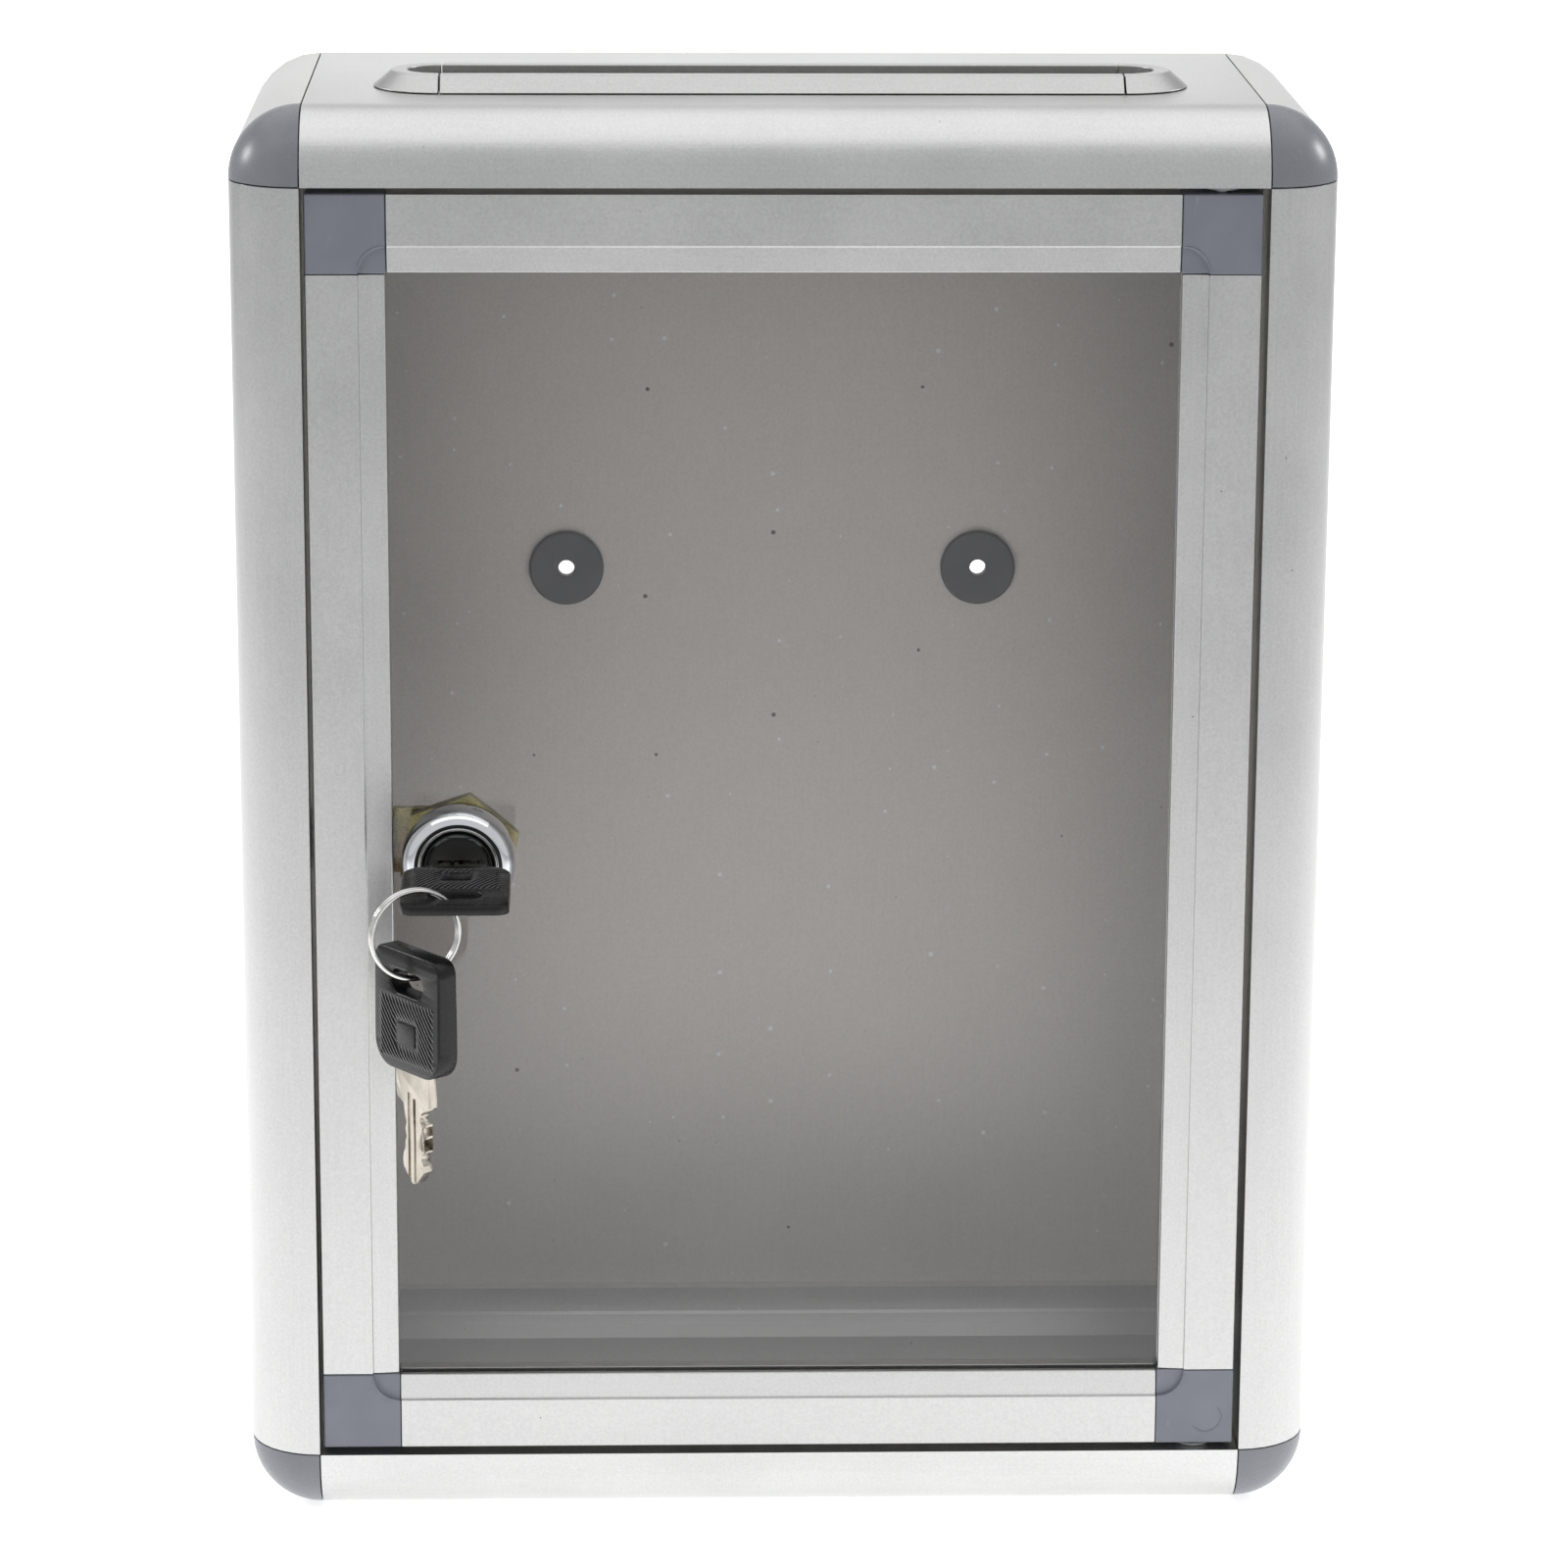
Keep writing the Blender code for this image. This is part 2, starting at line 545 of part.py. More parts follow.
def make_lock():
    head = [
        (HEAD_FACE_R + (HEAD_R - HEAD_FACE_R) * math.sin(t), 0.0015 - 0.0047 * math.cos(t))
        for t in [math.pi / 2 * i / 5 for i in range(6)]
    ]
    profile = [(PLUG_BORE_R, HEAD_FRONT + 0.0007), (PLUG_BORE_R + 0.0007, HEAD_FRONT)]
    profile += head + [(HEAD_R, HEAD_REAR), (BARREL_R, HEAD_REAR), (BARREL_R, BARREL_REAR), (PLUG_BORE_R, BARREL_REAR)]
    housing = new_object("lock_housing", turned(profile, lock_place), CHROME, HINGE_PIVOT)
    for name, low, high in (("upper", BARREL_FLAT, 0.012), ("lower", -0.012, -BARREL_FLAT)):
        flat = extruded(rectangle(-0.012, low, 0.012, high), HEAD_REAR, BARREL_REAR + 0.002, lock_place)
        cut(housing, helper(f"{name}_barrel_flat", flat))
    nut_outline = circle(NUT_R, steps=6, turn=90 + math.degrees(NUT_TURN))
    nut = new_object(
        "lock_nut", extruded(nut_outline, NUT_FRONT, NUT_FRONT + NUT_THICK, lock_place), YELLOW_ZINC, HINGE_PIVOT
    )
    cut(nut, helper("nut_bore", extruded(circle(BARREL_R + 0.0003), 0.0, 0.02, lock_place)))


def make_plug():
    profile = [
        (0.0, PLUG_FRONT),
        (PLUG_R - 0.0003, PLUG_FRONT),
        (PLUG_R, PLUG_FRONT + 0.0003),
        (PLUG_R, PLUG_REAR),
        (STUD_R, PLUG_REAR),
        (STUD_R, STUD_REAR),
        (0.0, STUD_REAR),
    ]
    plug = new_object("lock_plug", turned(profile, lock_place), BLACK_PLASTIC, LOCK_PIVOT)
    tang = extruded(rectangle(-TANG, -TANG, TANG, TANG), PLUG_REAR - 0.002, TANG_REAR, lock_place)
    join(plug, helper("plug_tang", tang))
    keyway = rectangle(-KEYWAY_HALF, -KEYWAY_HEIGHT / 2, KEYWAY_HALF, KEYWAY_HEIGHT / 2)
    cut(plug, helper("keyway", extruded(keyway, PLUG_FRONT - 0.002, KEYWAY_END, lock_place)))


def make_cam():
    """A flat cam: round at the plug, and straight to a tip behind the left stile."""
    tip = CAM_TIP_X - LOCK_X
    corner = 0.002
    upper, lower = CAM_RISE + CAM_HALF, CAM_RISE - CAM_HALF
    first = -180 - math.degrees(math.asin(lower / CAM_HUB_R))
    last = 180 - math.degrees(math.asin(upper / CAM_HUB_R))
    outline = (
        arc((0, 0), CAM_HUB_R, first, last, 16)
        + arc((tip + corner, upper - corner), corner, 90, 180, 4)
        + arc((tip + corner, lower + corner), corner, 180, 270, 4)
    )
    shape = extruded(outline, CAM_FRONT, CAM_FRONT + CAM_THICK, lock_place)
    cam = new_object("lock_cam", shape, YELLOW_ZINC, LOCK_PIVOT)
    half = TANG + 0.0002
    cut(cam, helper("cam_square", extruded(rectangle(-half, -half, half, half), 0.0, 0.03, lock_place)))
    start = CAM_FRONT + CAM_THICK + 0.0003
    start = max(start, TANG_REAR + 0.0001)
    shape = extruded(circle(CAM_NUT_R, steps=6), start, start + CAM_NUT_THICK, lock_place)
    nut = new_object("cam_nut", shape, YELLOW_ZINC, LOCK_PIVOT)
    cut(nut, helper("cam_nut_bore", extruded(circle(STUD_R + 0.0002, steps=20), 0.0, 0.03, lock_place)))


# ---- Keys ---------------------------------------------------------------------------------------
def blade_outline():
    """A key's blade as (across, distance from the bow), with bitting on its +p side."""
    start, end = SEAM, SHOULDER_LENGTH
    tip = SHOULDER_LENGTH + BLADE_LENGTH
    pitch = (BLADE_LENGTH - 0.006) / len(CUT_DEPTHS)
    points = [(-TANG_HALF, -TANG_DEPTH), (TANG_HALF, -TANG_DEPTH), (TANG_HALF, start), (SHOULDER_HALF, start)]
    points += [(SHOULDER_HALF, end), (BLADE_HALF, end + 0.0006)]
    for i, depth in enumerate(CUT_DEPTHS):
        middle = end + 0.0022 + pitch * (i + 0.5)
        points += [
            (BLADE_HALF, middle - pitch / 2 + 0.0002),
            (BLADE_HALF - depth, middle - 0.0004),
            (BLADE_HALF - depth, middle + 0.0004),
            (BLADE_HALF, middle + pitch / 2 - 0.0002),
        ]
    points += [(BLADE_HALF - 0.0006, tip - 0.0025), (0.0005, tip), (-0.0005, tip), (-BLADE_HALF, tip - 0.0035)]
    return points + [(-BLADE_HALF, end + 0.0006), (-SHOULDER_HALF, end), (-SHOULDER_HALF, start), (-TANG_HALF, start)]


def bow_outline():
    """A key's bow: wide, with small corners at the ring end and larger ones towards the blade."""
    return rounded_rectangle(-BOW_HALF, -BOW_LENGTH, BOW_HALF, 0.0, (0.003, 0.003, 0.0055, 0.0055), 5)


def make_key(prefix, matrix, bodies_pivot):
    """A blade and its moulded bow. The key's own axes are across, towards the tip, and through."""
    half = BLADE_THICK / 2
    new_object(
        f"{prefix}_blade", extruded(blade_outline(), -half, half, along_z), STEEL, bodies_pivot, matrix
    )
    half = BOW_THICK / 2
    shape = extruded(bow_outline(), -half, half, along_z)
    bow = new_object(f"{prefix}_bow", shape, BLACK_PLASTIC, bodies_pivot, matrix)
    thin = BOW_END_THICK / 2
    side = [(-BOW_LENGTH - 0.001, -thin), (-BOW_TAPER, -half), (0.001, -half), (0.001, half)]
    side += [(-BOW_TAPER, half), (-BOW_LENGTH - 0.001, thin)]
    wedge = extruded(side, -BOW_HALF - 0.001, BOW_HALF + 0.001, along_x)
    combine(bow, "INTERSECT", helper(f"{prefix}_bow_side", wedge, matrix))
    eye = stadium(EYE_HALF - EYE_R, EYE_R, (0.0, EYE_INSET - BOW_LENGTH), 6)
    cut(bow, helper(f"{prefix}_eye", extruded(eye, -0.01, 0.01, along_z), matrix))
    gap = 0.0003
    pocket = box(
        (-TANG_HALF - gap, -TANG_DEPTH - gap, -BLADE_THICK / 2 - gap),
        (TANG_HALF + gap, 0.001, BLADE_THICK / 2 + gap),
    )
    cut(bow, helper(f"{prefix}_pocket", pocket, matrix))


def ring_profile():
    """Elliptical section of the two turns of wire, as (radius, distance along the ring's axis)."""
    points = circle(1.0, steps=8)
    return [(RING_R + RING_RADIAL * p, RING_AXIAL * q) for p, q in points]


def make_keys():
    in_lock = Matrix.Translation((LOCK_X, KEY_FACE_Y, LOCK_Z))
    make_key("key", in_lock, (LOCK_X, KEY_FACE_Y, LOCK_Z))
    turn = Matrix.Rotation(RING_TURN, 4, "Z")
    shape = turned(ring_profile(), along_y, 40)
    top = RING_CENTRE + Vector((0, 0, RING_R - RING_RADIAL))
    new_object("key_ring", shape, STEEL, top, Matrix.Translation(RING_CENTRE) @ turn)
    wire = RING_CENTRE - Vector((0, 0, RING_R))
    eye_centre = wire.z + SPARE_DROP - EYE_R
    bow_end = eye_centre + EYE_INSET
    hanging = Matrix.Translation((wire.x, wire.y, bow_end - BOW_LENGTH))
    hanging = hanging @ Matrix.Rotation(SPARE_TURN, 4, "Z") @ Matrix.Rotation(math.radians(-90), 4, "X")
    make_key("spare_key", hanging, wire)


# ---- The whole object -----------------------------------------------------------------------------
for old in list(bpy.data.objects):
    bpy.data.objects.remove(old, do_unlink=True)

ALUMINIUM = material("satin_aluminium", (0.62, 0.64, 0.63), 0.34, 1.0)
GREY_PLASTIC = material("grey_plastic", (0.17, 0.18, 0.22), 0.45)
DARK_PLASTIC = material("dark_plastic", (0.07, 0.07, 0.08), 0.5)
BLACK_PLASTIC = material("black_plastic", (0.015, 0.015, 0.017), 0.4)
CLEAR_ACRYLIC = material("clear_acrylic", (0.93, 0.96, 0.95), 0.03, alpha=0.2)
CHROME = material("bright_chrome", (0.80, 0.81, 0.84), 0.08, 1.0)
STEEL = material("nickel_steel", (0.66, 0.63, 0.56), 0.25, 1.0)
YELLOW_ZINC = material("yellow_zinc", (0.42, 0.33, 0.12), 0.35, 1.0)
HELPER = material("helper", (0.8, 0.1, 0.1), 0.5)

HINGE_PIVOT = (HINGE_X, HINGE_Y, 0.0)
LOCK_PIVOT = (LOCK_X, FRONT, LOCK_Z)
CORNERS = {
    "top_left": (-1, 1),
    "top_right": (1, 1),
    "bottom_left": (-1, -1),
    "bottom_right": (1, -1),
}

make_walls()
make_back()
for corner_name, (corner_side, corner_level) in CORNERS.items():
    make_post(corner_name, corner_side, corner_level)
    make_cap(corner_name, corner_side, corner_level)
    make_panel_screw(corner_name, corner_side, corner_level)
    make_door_corner(corner_name, corner_side, corner_level)
make_slot_trim()
make_members()
make_pane()
make_hinge("top", 1)
make_hinge("bottom", -1)
make_lock()
make_plug()
make_cam()
make_keys()
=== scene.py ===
"""Looks of the donation box: bevelled extrusions, moulded corners, a cam lock and two keys on a split ring."""

import math

import bmesh
import bpy
from mathutils import Matrix, Vector


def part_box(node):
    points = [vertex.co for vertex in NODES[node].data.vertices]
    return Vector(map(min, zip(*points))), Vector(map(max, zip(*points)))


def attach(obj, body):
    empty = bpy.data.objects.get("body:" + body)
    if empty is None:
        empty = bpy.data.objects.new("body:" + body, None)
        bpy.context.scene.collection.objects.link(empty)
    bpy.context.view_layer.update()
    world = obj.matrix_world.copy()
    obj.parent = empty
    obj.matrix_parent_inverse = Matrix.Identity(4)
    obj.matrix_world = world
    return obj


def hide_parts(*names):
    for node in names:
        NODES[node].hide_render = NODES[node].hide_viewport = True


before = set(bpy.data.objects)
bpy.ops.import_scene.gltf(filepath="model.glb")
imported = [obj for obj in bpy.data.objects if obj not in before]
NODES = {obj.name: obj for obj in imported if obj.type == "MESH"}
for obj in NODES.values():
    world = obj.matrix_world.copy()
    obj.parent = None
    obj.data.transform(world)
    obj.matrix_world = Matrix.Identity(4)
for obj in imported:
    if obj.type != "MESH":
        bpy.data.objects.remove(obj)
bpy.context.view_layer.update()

# ---- Places, read from the frame ------------------------------------------------------------------
PANEL_LOW, PANEL_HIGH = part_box("back_panel")
FRONT_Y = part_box("top_wall")[0].y
HALF_WIDTH, TOP_Z = PANEL_HIGH.x, PANEL_HIGH.z
CORNER_R = 0.015
JOINT_GAP = 0.00015
MEMBER = 0.016  # width of the door frame
PLUG_LOW, PLUG_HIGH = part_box("lock_plug")
LOCK = Vector(((PLUG_LOW.x + PLUG_HIGH.x) / 2, PLUG_LOW.y, (PLUG_LOW.z + PLUG_HIGH.z) / 2))
CORNERS = (("top_left", -1, 1), ("top_right", 1, 1), ("bottom_left", -1, -1), ("bottom_right", 1, -1))
MM = 0.001


# ---- Outlines and meshes --------------------------------------------------------------------------
def arc(centre, radius, start, end, steps):
    angles = [math.radians(start + (end - start) * i / steps) for i in range(steps + 1)]
    return [(centre[0] + radius * math.cos(a), centre[1] + radius * math.sin(a)) for a in angles]


def circle(radius, steps, turn=0.0, centre=(0.0, 0.0)):
    return arc(centre, radius, turn, turn + 360 * (1 - 1 / steps), steps - 1)


def rounded_rectangle(low, high, radii, steps=8):
    """Corner radii run from lower left anticlockwise."""
    a, b, c, d = radii
    return (
        arc((low[0] + a, low[1] + a), a, 180, 270, steps)
        + arc((high[0] - b, low[1] + b), b, 270, 360, steps)
        + arc((high[0] - c, high[1] - c), c, 0, 90, steps)
        + arc((low[0] + d, high[1] - d), d, 90, 180, steps)
    )


def extruded(outline, start, end):
    """A closed prism along its own Z."""
    shape = bmesh.new()
    rings = [[shape.verts.new((p, q, t)) for p, q in outline] for t in (start, end)]
    shape.faces.new(rings[0])
    shape.faces.new(rings[1])
    for i in range(len(outline)):
        j = (i + 1) % len(outline)
        shape.faces.new((rings[0][i], rings[0][j], rings[1][j], rings[1][i]))
    bmesh.ops.recalc_face_normals(shape, faces=shape.faces)
    return shape


def turned(profile, steps):
    """A solid turned about its own Z from (radius, distance) points. A profile off the axis is closed."""
    shape = bmesh.new()
    poles = {}
    columns = []
    for i in range(steps):
        angle = 2 * math.pi * i / steps
        column = []
        for k, (radius, distance) in enumerate(profile):
            if radius == 0.0 and k in poles:
                column.append(poles[k])
                continue
            vertex = shape.verts.new((radius * math.cos(angle), radius * math.sin(angle), distance))
            if radius == 0.0:
                poles[k] = vertex
            column.append(vertex)
        columns.append(column)
    spans = len(profile) if profile[0][0] > 0.0 else len(profile) - 1
    for i in range(steps):
        here, there = columns[i], columns[(i + 1) % steps]
        for k in range(spans):
            m = (k + 1) % len(profile)
            shape.faces.new(list(dict.fromkeys((here[k], there[k], there[m], here[m]))))
    bmesh.ops.recalc_face_normals(shape, faces=shape.faces)
    return shape


def box_shape(low, high):
    outline = [(low[0], low[1]), (high[0], low[1]), (high[0], high[1]), (low[0], high[1])]
    return extruded(outline, low[2], high[2])


def skin(shape, rings):
    """Joins each ring of vertices to the next, and closes both ends."""
    sides = len(rings[0])
    for here, there in zip(rings, rings[1:]):
        for k in range(sides):
            m = (k + 1) % sides
            shape.faces.new((here[k], here[m], there[m], there[k]))
    shape.faces.new(rings[0])
    shape.faces.new(rings[-1])
    bmesh.ops.recalc_face_normals(shape, faces=shape.faces)


def object_of(name, shape, sharp=35.0):
    mesh = bpy.data.meshes.new(name)
    shape.to_mesh(mesh)
    shape.free()
    mesh.shade_smooth()
    mesh.set_sharp_from_angle(angle=math.radians(sharp))
    made = bpy.data.objects.new(name, mesh)
    bpy.context.scene.collection.objects.link(made)
    return made


def bevel(obj, width, segments=3, angle=30.0):
    modifier = obj.modifiers.new("rounded_edges", "BEVEL")
    modifier.width = width
    modifier.segments = segments
    modifier.limit_method = "ANGLE"
    modifier.angle_limit = math.radians(angle)
    modifier.harden_normals = True
    modifier.miter_outer = "MITER_ARC"


def boolean(obj, shape, operation):
    """Combines obj with a shape in the same space, and applies it."""
    other = object_of("cutter", shape)
    modifier = obj.modifiers.new("combine", "BOOLEAN")
    modifier.operation = operation
    modifier.solver = "EXACT"
    modifier.object = other
    apply_modifiers(obj)
    bpy.data.objects.remove(other, do_unlink=True)


def apply_modifiers(obj):
    """Bakes an object's modifiers into its mesh."""
    bpy.context.view_layer.update()
    graph = bpy.context.evaluated_depsgraph_get()
    mesh = bpy.data.meshes.new_from_object(obj.evaluated_get(graph))
    obj.modifiers.clear()
    old = obj.data
    obj.data = mesh
    bpy.data.meshes.remove(old)


def settle(obj, matrix, finish, body, slot, *nodes):
    """Puts a finished piece in its place, gives it its material, and ties it to the frame."""
    obj.data.transform(matrix)
    for each in finish if isinstance(finish, tuple) else (finish,):
        obj.data.materials.append(each)
    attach(obj, body)
    if nodes:
        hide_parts(*nodes)
    return obj


# ---- Materials ------------------------------------------------------------------------------------
class Finish:
    """A procedural material built round one Principled shader, in the object's own coordinates."""

    def __init__(self, name, **settings):
        self.material = bpy.data.materials.new(name)
        self.material.use_nodes = True
        self.tree = self.material.node_tree
        self.shader = self.tree.nodes["Principled BSDF"]
        self.place = self.add("ShaderNodeTexCoord").outputs["Object"]
        for socket, value in settings.items():
            self.shader.inputs[socket.replace("_", " ")].default_value = value

    def add(self, kind, **settings):
        node = self.tree.nodes.new(kind)
        for key, value in settings.items():
            setattr(node, key, value)
        return node

    def link(self, source, target):
        self.tree.links.new(source, target)

    def scaled(self, scale):
        node = self.add("ShaderNodeMapping")
        self.link(self.place, node.inputs["Vector"])
        node.inputs["Scale"].default_value = scale
        return node.outputs["Vector"]

    def noise(self, size, detail=3.0, stretch=(1, 1, 1), roughness=0.5):
        """Noise whose features are about this size in metres."""
        node = self.add("ShaderNodeTexNoise")
        self.link(self.scaled(Vector(stretch) / size), node.inputs["Vector"])
        node.inputs["Scale"].default_value = 1.0
        node.inputs["Detail"].default_value = detail
        node.inputs["Roughness"].default_value = roughness
        return node.outputs["Fac"]

    def specks(self, spacing, radius):
        """1 in scattered round specks, 0 between them."""
        node = self.add("ShaderNodeTexVoronoi", feature="F1")
        self.link(self.scaled((1 / spacing,) * 3), node.inputs["Vector"])
        node.inputs["Scale"].default_value = 1.0
        return self.ramp(node.outputs["Distance"], radius / spacing, 1.0, radius * 1.6 / spacing, 0.0)

    def dots(self, spacing, radius, share):
        """Round dots on a face that looks along Y, in this share of the cells of a grid of this spacing."""
        apart = self.add("ShaderNodeSeparateXYZ")
        self.link(self.scaled((1 / spacing,) * 3), apart.inputs[0])
        flat = self.add("ShaderNodeCombineXYZ")
        self.link(apart.outputs["X"], flat.inputs["X"])
        self.link(apart.outputs["Z"], flat.inputs["Y"])
        node = self.add("ShaderNodeTexVoronoi", feature="F1", voronoi_dimensions="2D")
        self.link(flat.outputs[0], node.inputs["Vector"])
        node.inputs["Scale"].default_value = 1.0
        chance = self.add("ShaderNodeSeparateColor")
        self.link(node.outputs["Color"], chance.inputs[0])
        kept = self.ramp(chance.outputs["Red"], 0.0, 1.0, share, 0.0)
        size = self.maths("MULTIPLY", kept, radius / spacing)
        beyond = self.maths("SUBTRACT", node.outputs["Distance"], size)
        return self.ramp(beyond, -0.3 * radius / spacing, 1.0, 0.0, 0.0)

    def ramp(self, source, low, low_value, high, high_value):
        node = self.add("ShaderNodeMapRange")
        self.link(source, node.inputs["Value"])
        node.inputs["From Min"].default_value = low
        node.inputs["From Max"].default_value = high
        node.inputs["To Min"].default_value = low_value
        node.inputs["To Max"].default_value = high_value
        return node.outputs["Result"]

    def maths(self, operation, first, second):
        node = self.add("ShaderNodeMath", operation=operation)
        for socket, value in zip(node.inputs, (first, second)):
            if isinstance(value, (int, float)):
                socket.default_value = value
            else:
                self.link(value, socket)
        return node.outputs["Value"]

    def mix(self, factor, first, second):
        """Mixes two colours, each a triple or a socket."""
        node = self.add("ShaderNodeMix", data_type="RGBA")
        self.link(factor, node.inputs["Factor"])
        for socket, value in ((node.inputs[6], first), (node.inputs[7], second)):
            if isinstance(value, tuple):
                socket.default_value = (*value, 1.0)
            else:
                self.link(value, socket)
        return node.outputs[2]

    def colour(self, source):
        self.link(source, self.shader.inputs["Base Color"])

    def rough(self, source):
        self.link(source, self.shader.inputs["Roughness"])

    def bump(self, height, strength, depth):
        node = self.add("ShaderNodeBump")
        node.inputs["Strength"].default_value = strength
        node.inputs["Distance"].default_value = depth
        self.link(height, node.inputs["Height"])
        self.link(node.outputs["Normal"], self.shader.inputs["Normal"])


ALONG = {"x": (0.02, 1, 1), "y": (1, 0.02, 1), "z": (1, 1, 0.02)}


PIT = (0.12, 0.12, 0.12)
PALE_DUST, DARK_DUST = (0.93, 0.93, 0.92), (0.16, 0.15, 0.14)


def aluminium(name, axis, dark, light, rough=(0.30, 0.40), lined=0.12, metallic=1.0, relief=0.3, dusty=False):
    """Pearl-blasted anodised extrusion: fine grain, faint drawing lines, slow mottling and a few pits."""
    made = Finish(name, Metallic=metallic)
    grain = made.noise(0.55 * MM, 3.0, roughness=0.65)
    lines = made.noise(0.5 * MM, 2.0, ALONG[axis])
    cloud = made.noise(28 * MM, 3.0)
    pits = made.specks(9 * MM, 0.12 * MM)
    tone = made.maths("ADD", made.maths("MULTIPLY", lines, lined), made.maths("MULTIPLY", grain, 0.6))
    tone = made.maths("ADD", tone, made.maths("MULTIPLY", cloud, 0.4 - lined))
    body = made.mix(made.ramp(tone, 0.35, 0.0, 0.65, 1.0), dark, light)
    body = made.mix(pits, body, PIT)
    if dusty:
        body = made.mix(made.dots(12 * MM, 0.6 * MM, 0.6), body, PALE_DUST)
        body = made.mix(made.dots(29 * MM, 0.6 * MM, 0.5), body, DARK_DUST)
    made.colour(body)
    made.rough(made.ramp(made.maths("ADD", grain, cloud), 0.7, rough[0], 1.3, rough[1]))
    made.bump(made.maths("ADD", grain, made.maths("MULTIPLY", lines, 0.3)), relief, 0.05 * MM)
    return made.material


def moulded(name, base, speck, rough=(0.38, 0.5), texture=0.25 * MM, depth=0.02 * MM, **settings):
    """Moulded plastic: fine spark texture, slow colour drift and a little scuffing."""
    made = Finish(name, **settings)
    texture = made.noise(texture, 2.0)
    drift = made.noise(9 * MM, 3.0)
    body = made.mix(made.ramp(drift, 0.3, 0.0, 0.7, 1.0), base, speck)
    scuffs = made.ramp(made.noise(1.6 * MM, 4.0, (1, 1, 0.2)), 0.66, 0.0, 0.78, 0.5)
    lighter = tuple(min(1.0, c * 1.45 + 0.01) for c in speck)
    made.colour(made.mix(scuffs, body, lighter))
    made.rough(made.ramp(texture, 0.3, rough[0], 0.7, rough[1]))
    made.bump(texture, 0.3, depth)
    return made.material


def plated(name, dark, light, rough, mottle, brush=None):
    """Plated metal: slow mottling, and fine brushing if an axis is given."""
    made = Finish(name, Metallic=1.0)
    cloud = made.noise(mottle, 4.0, roughness=0.6)
    fine = made.noise(0.16 * MM, 2.0, ALONG[brush] if brush else (1, 1, 1))
    made.colour(made.mix(made.ramp(cloud, 0.3, 0.0, 0.7, 1.0), dark, light))
    blend = made.maths("ADD", made.maths("MULTIPLY", cloud, 0.5), made.maths("MULTIPLY", fine, 0.5))
    made.rough(made.ramp(blend, 0.3, rough[0], 0.7, rough[1]))
    made.bump(fine, 0.12, 0.01 * MM)
    return made.material


OLIVE, STRAW, ROSE = (0.22, 0.20, 0.07), (0.46, 0.41, 0.19), (0.42, 0.27, 0.19)


def zinc_yellow():
    """Yellow-passivated zinc, with its olive and rosy bloom."""
    made = Finish("yellow_zinc_finish", Metallic=1.0)
    cloud = made.noise(5 * MM, 4.0, roughness=0.6)
    bloom = made.noise(7 * MM, 2.0)
    fine = made.noise(0.2 * MM, 2.0)
    body = made.mix(made.ramp(cloud, 0.35, 0.0, 0.65, 1.0), OLIVE, STRAW)
    made.colour(made.mix(made.ramp(bloom, 0.5, 0.0, 0.72, 0.7), body, ROSE))
    made.rough(made.ramp(fine, 0.3, 0.22, 0.7, 0.36))
    made.bump(fine, 0.15, 0.015 * MM)
    return made.material


def acrylic():
    """Clear cast sheet with a trace of dust and faint wipe marks."""
    made = Finish("clear_acrylic_finish", Transmission_Weight=1.0, IOR=1.49)
    dust = made.specks(11 * MM, 0.16 * MM)
    wipe = made.ramp(made.noise(14 * MM, 5.0, (1, 1, 0.35)), 0.5, 0.0, 0.8, 0.03)
    made.colour(made.mix(dust, (0.99, 0.99, 0.99), (0.95, 0.95, 0.95)))
    made.rough(made.maths("ADD", made.maths("MULTIPLY", dust, 0.6), wipe))
    return made.material


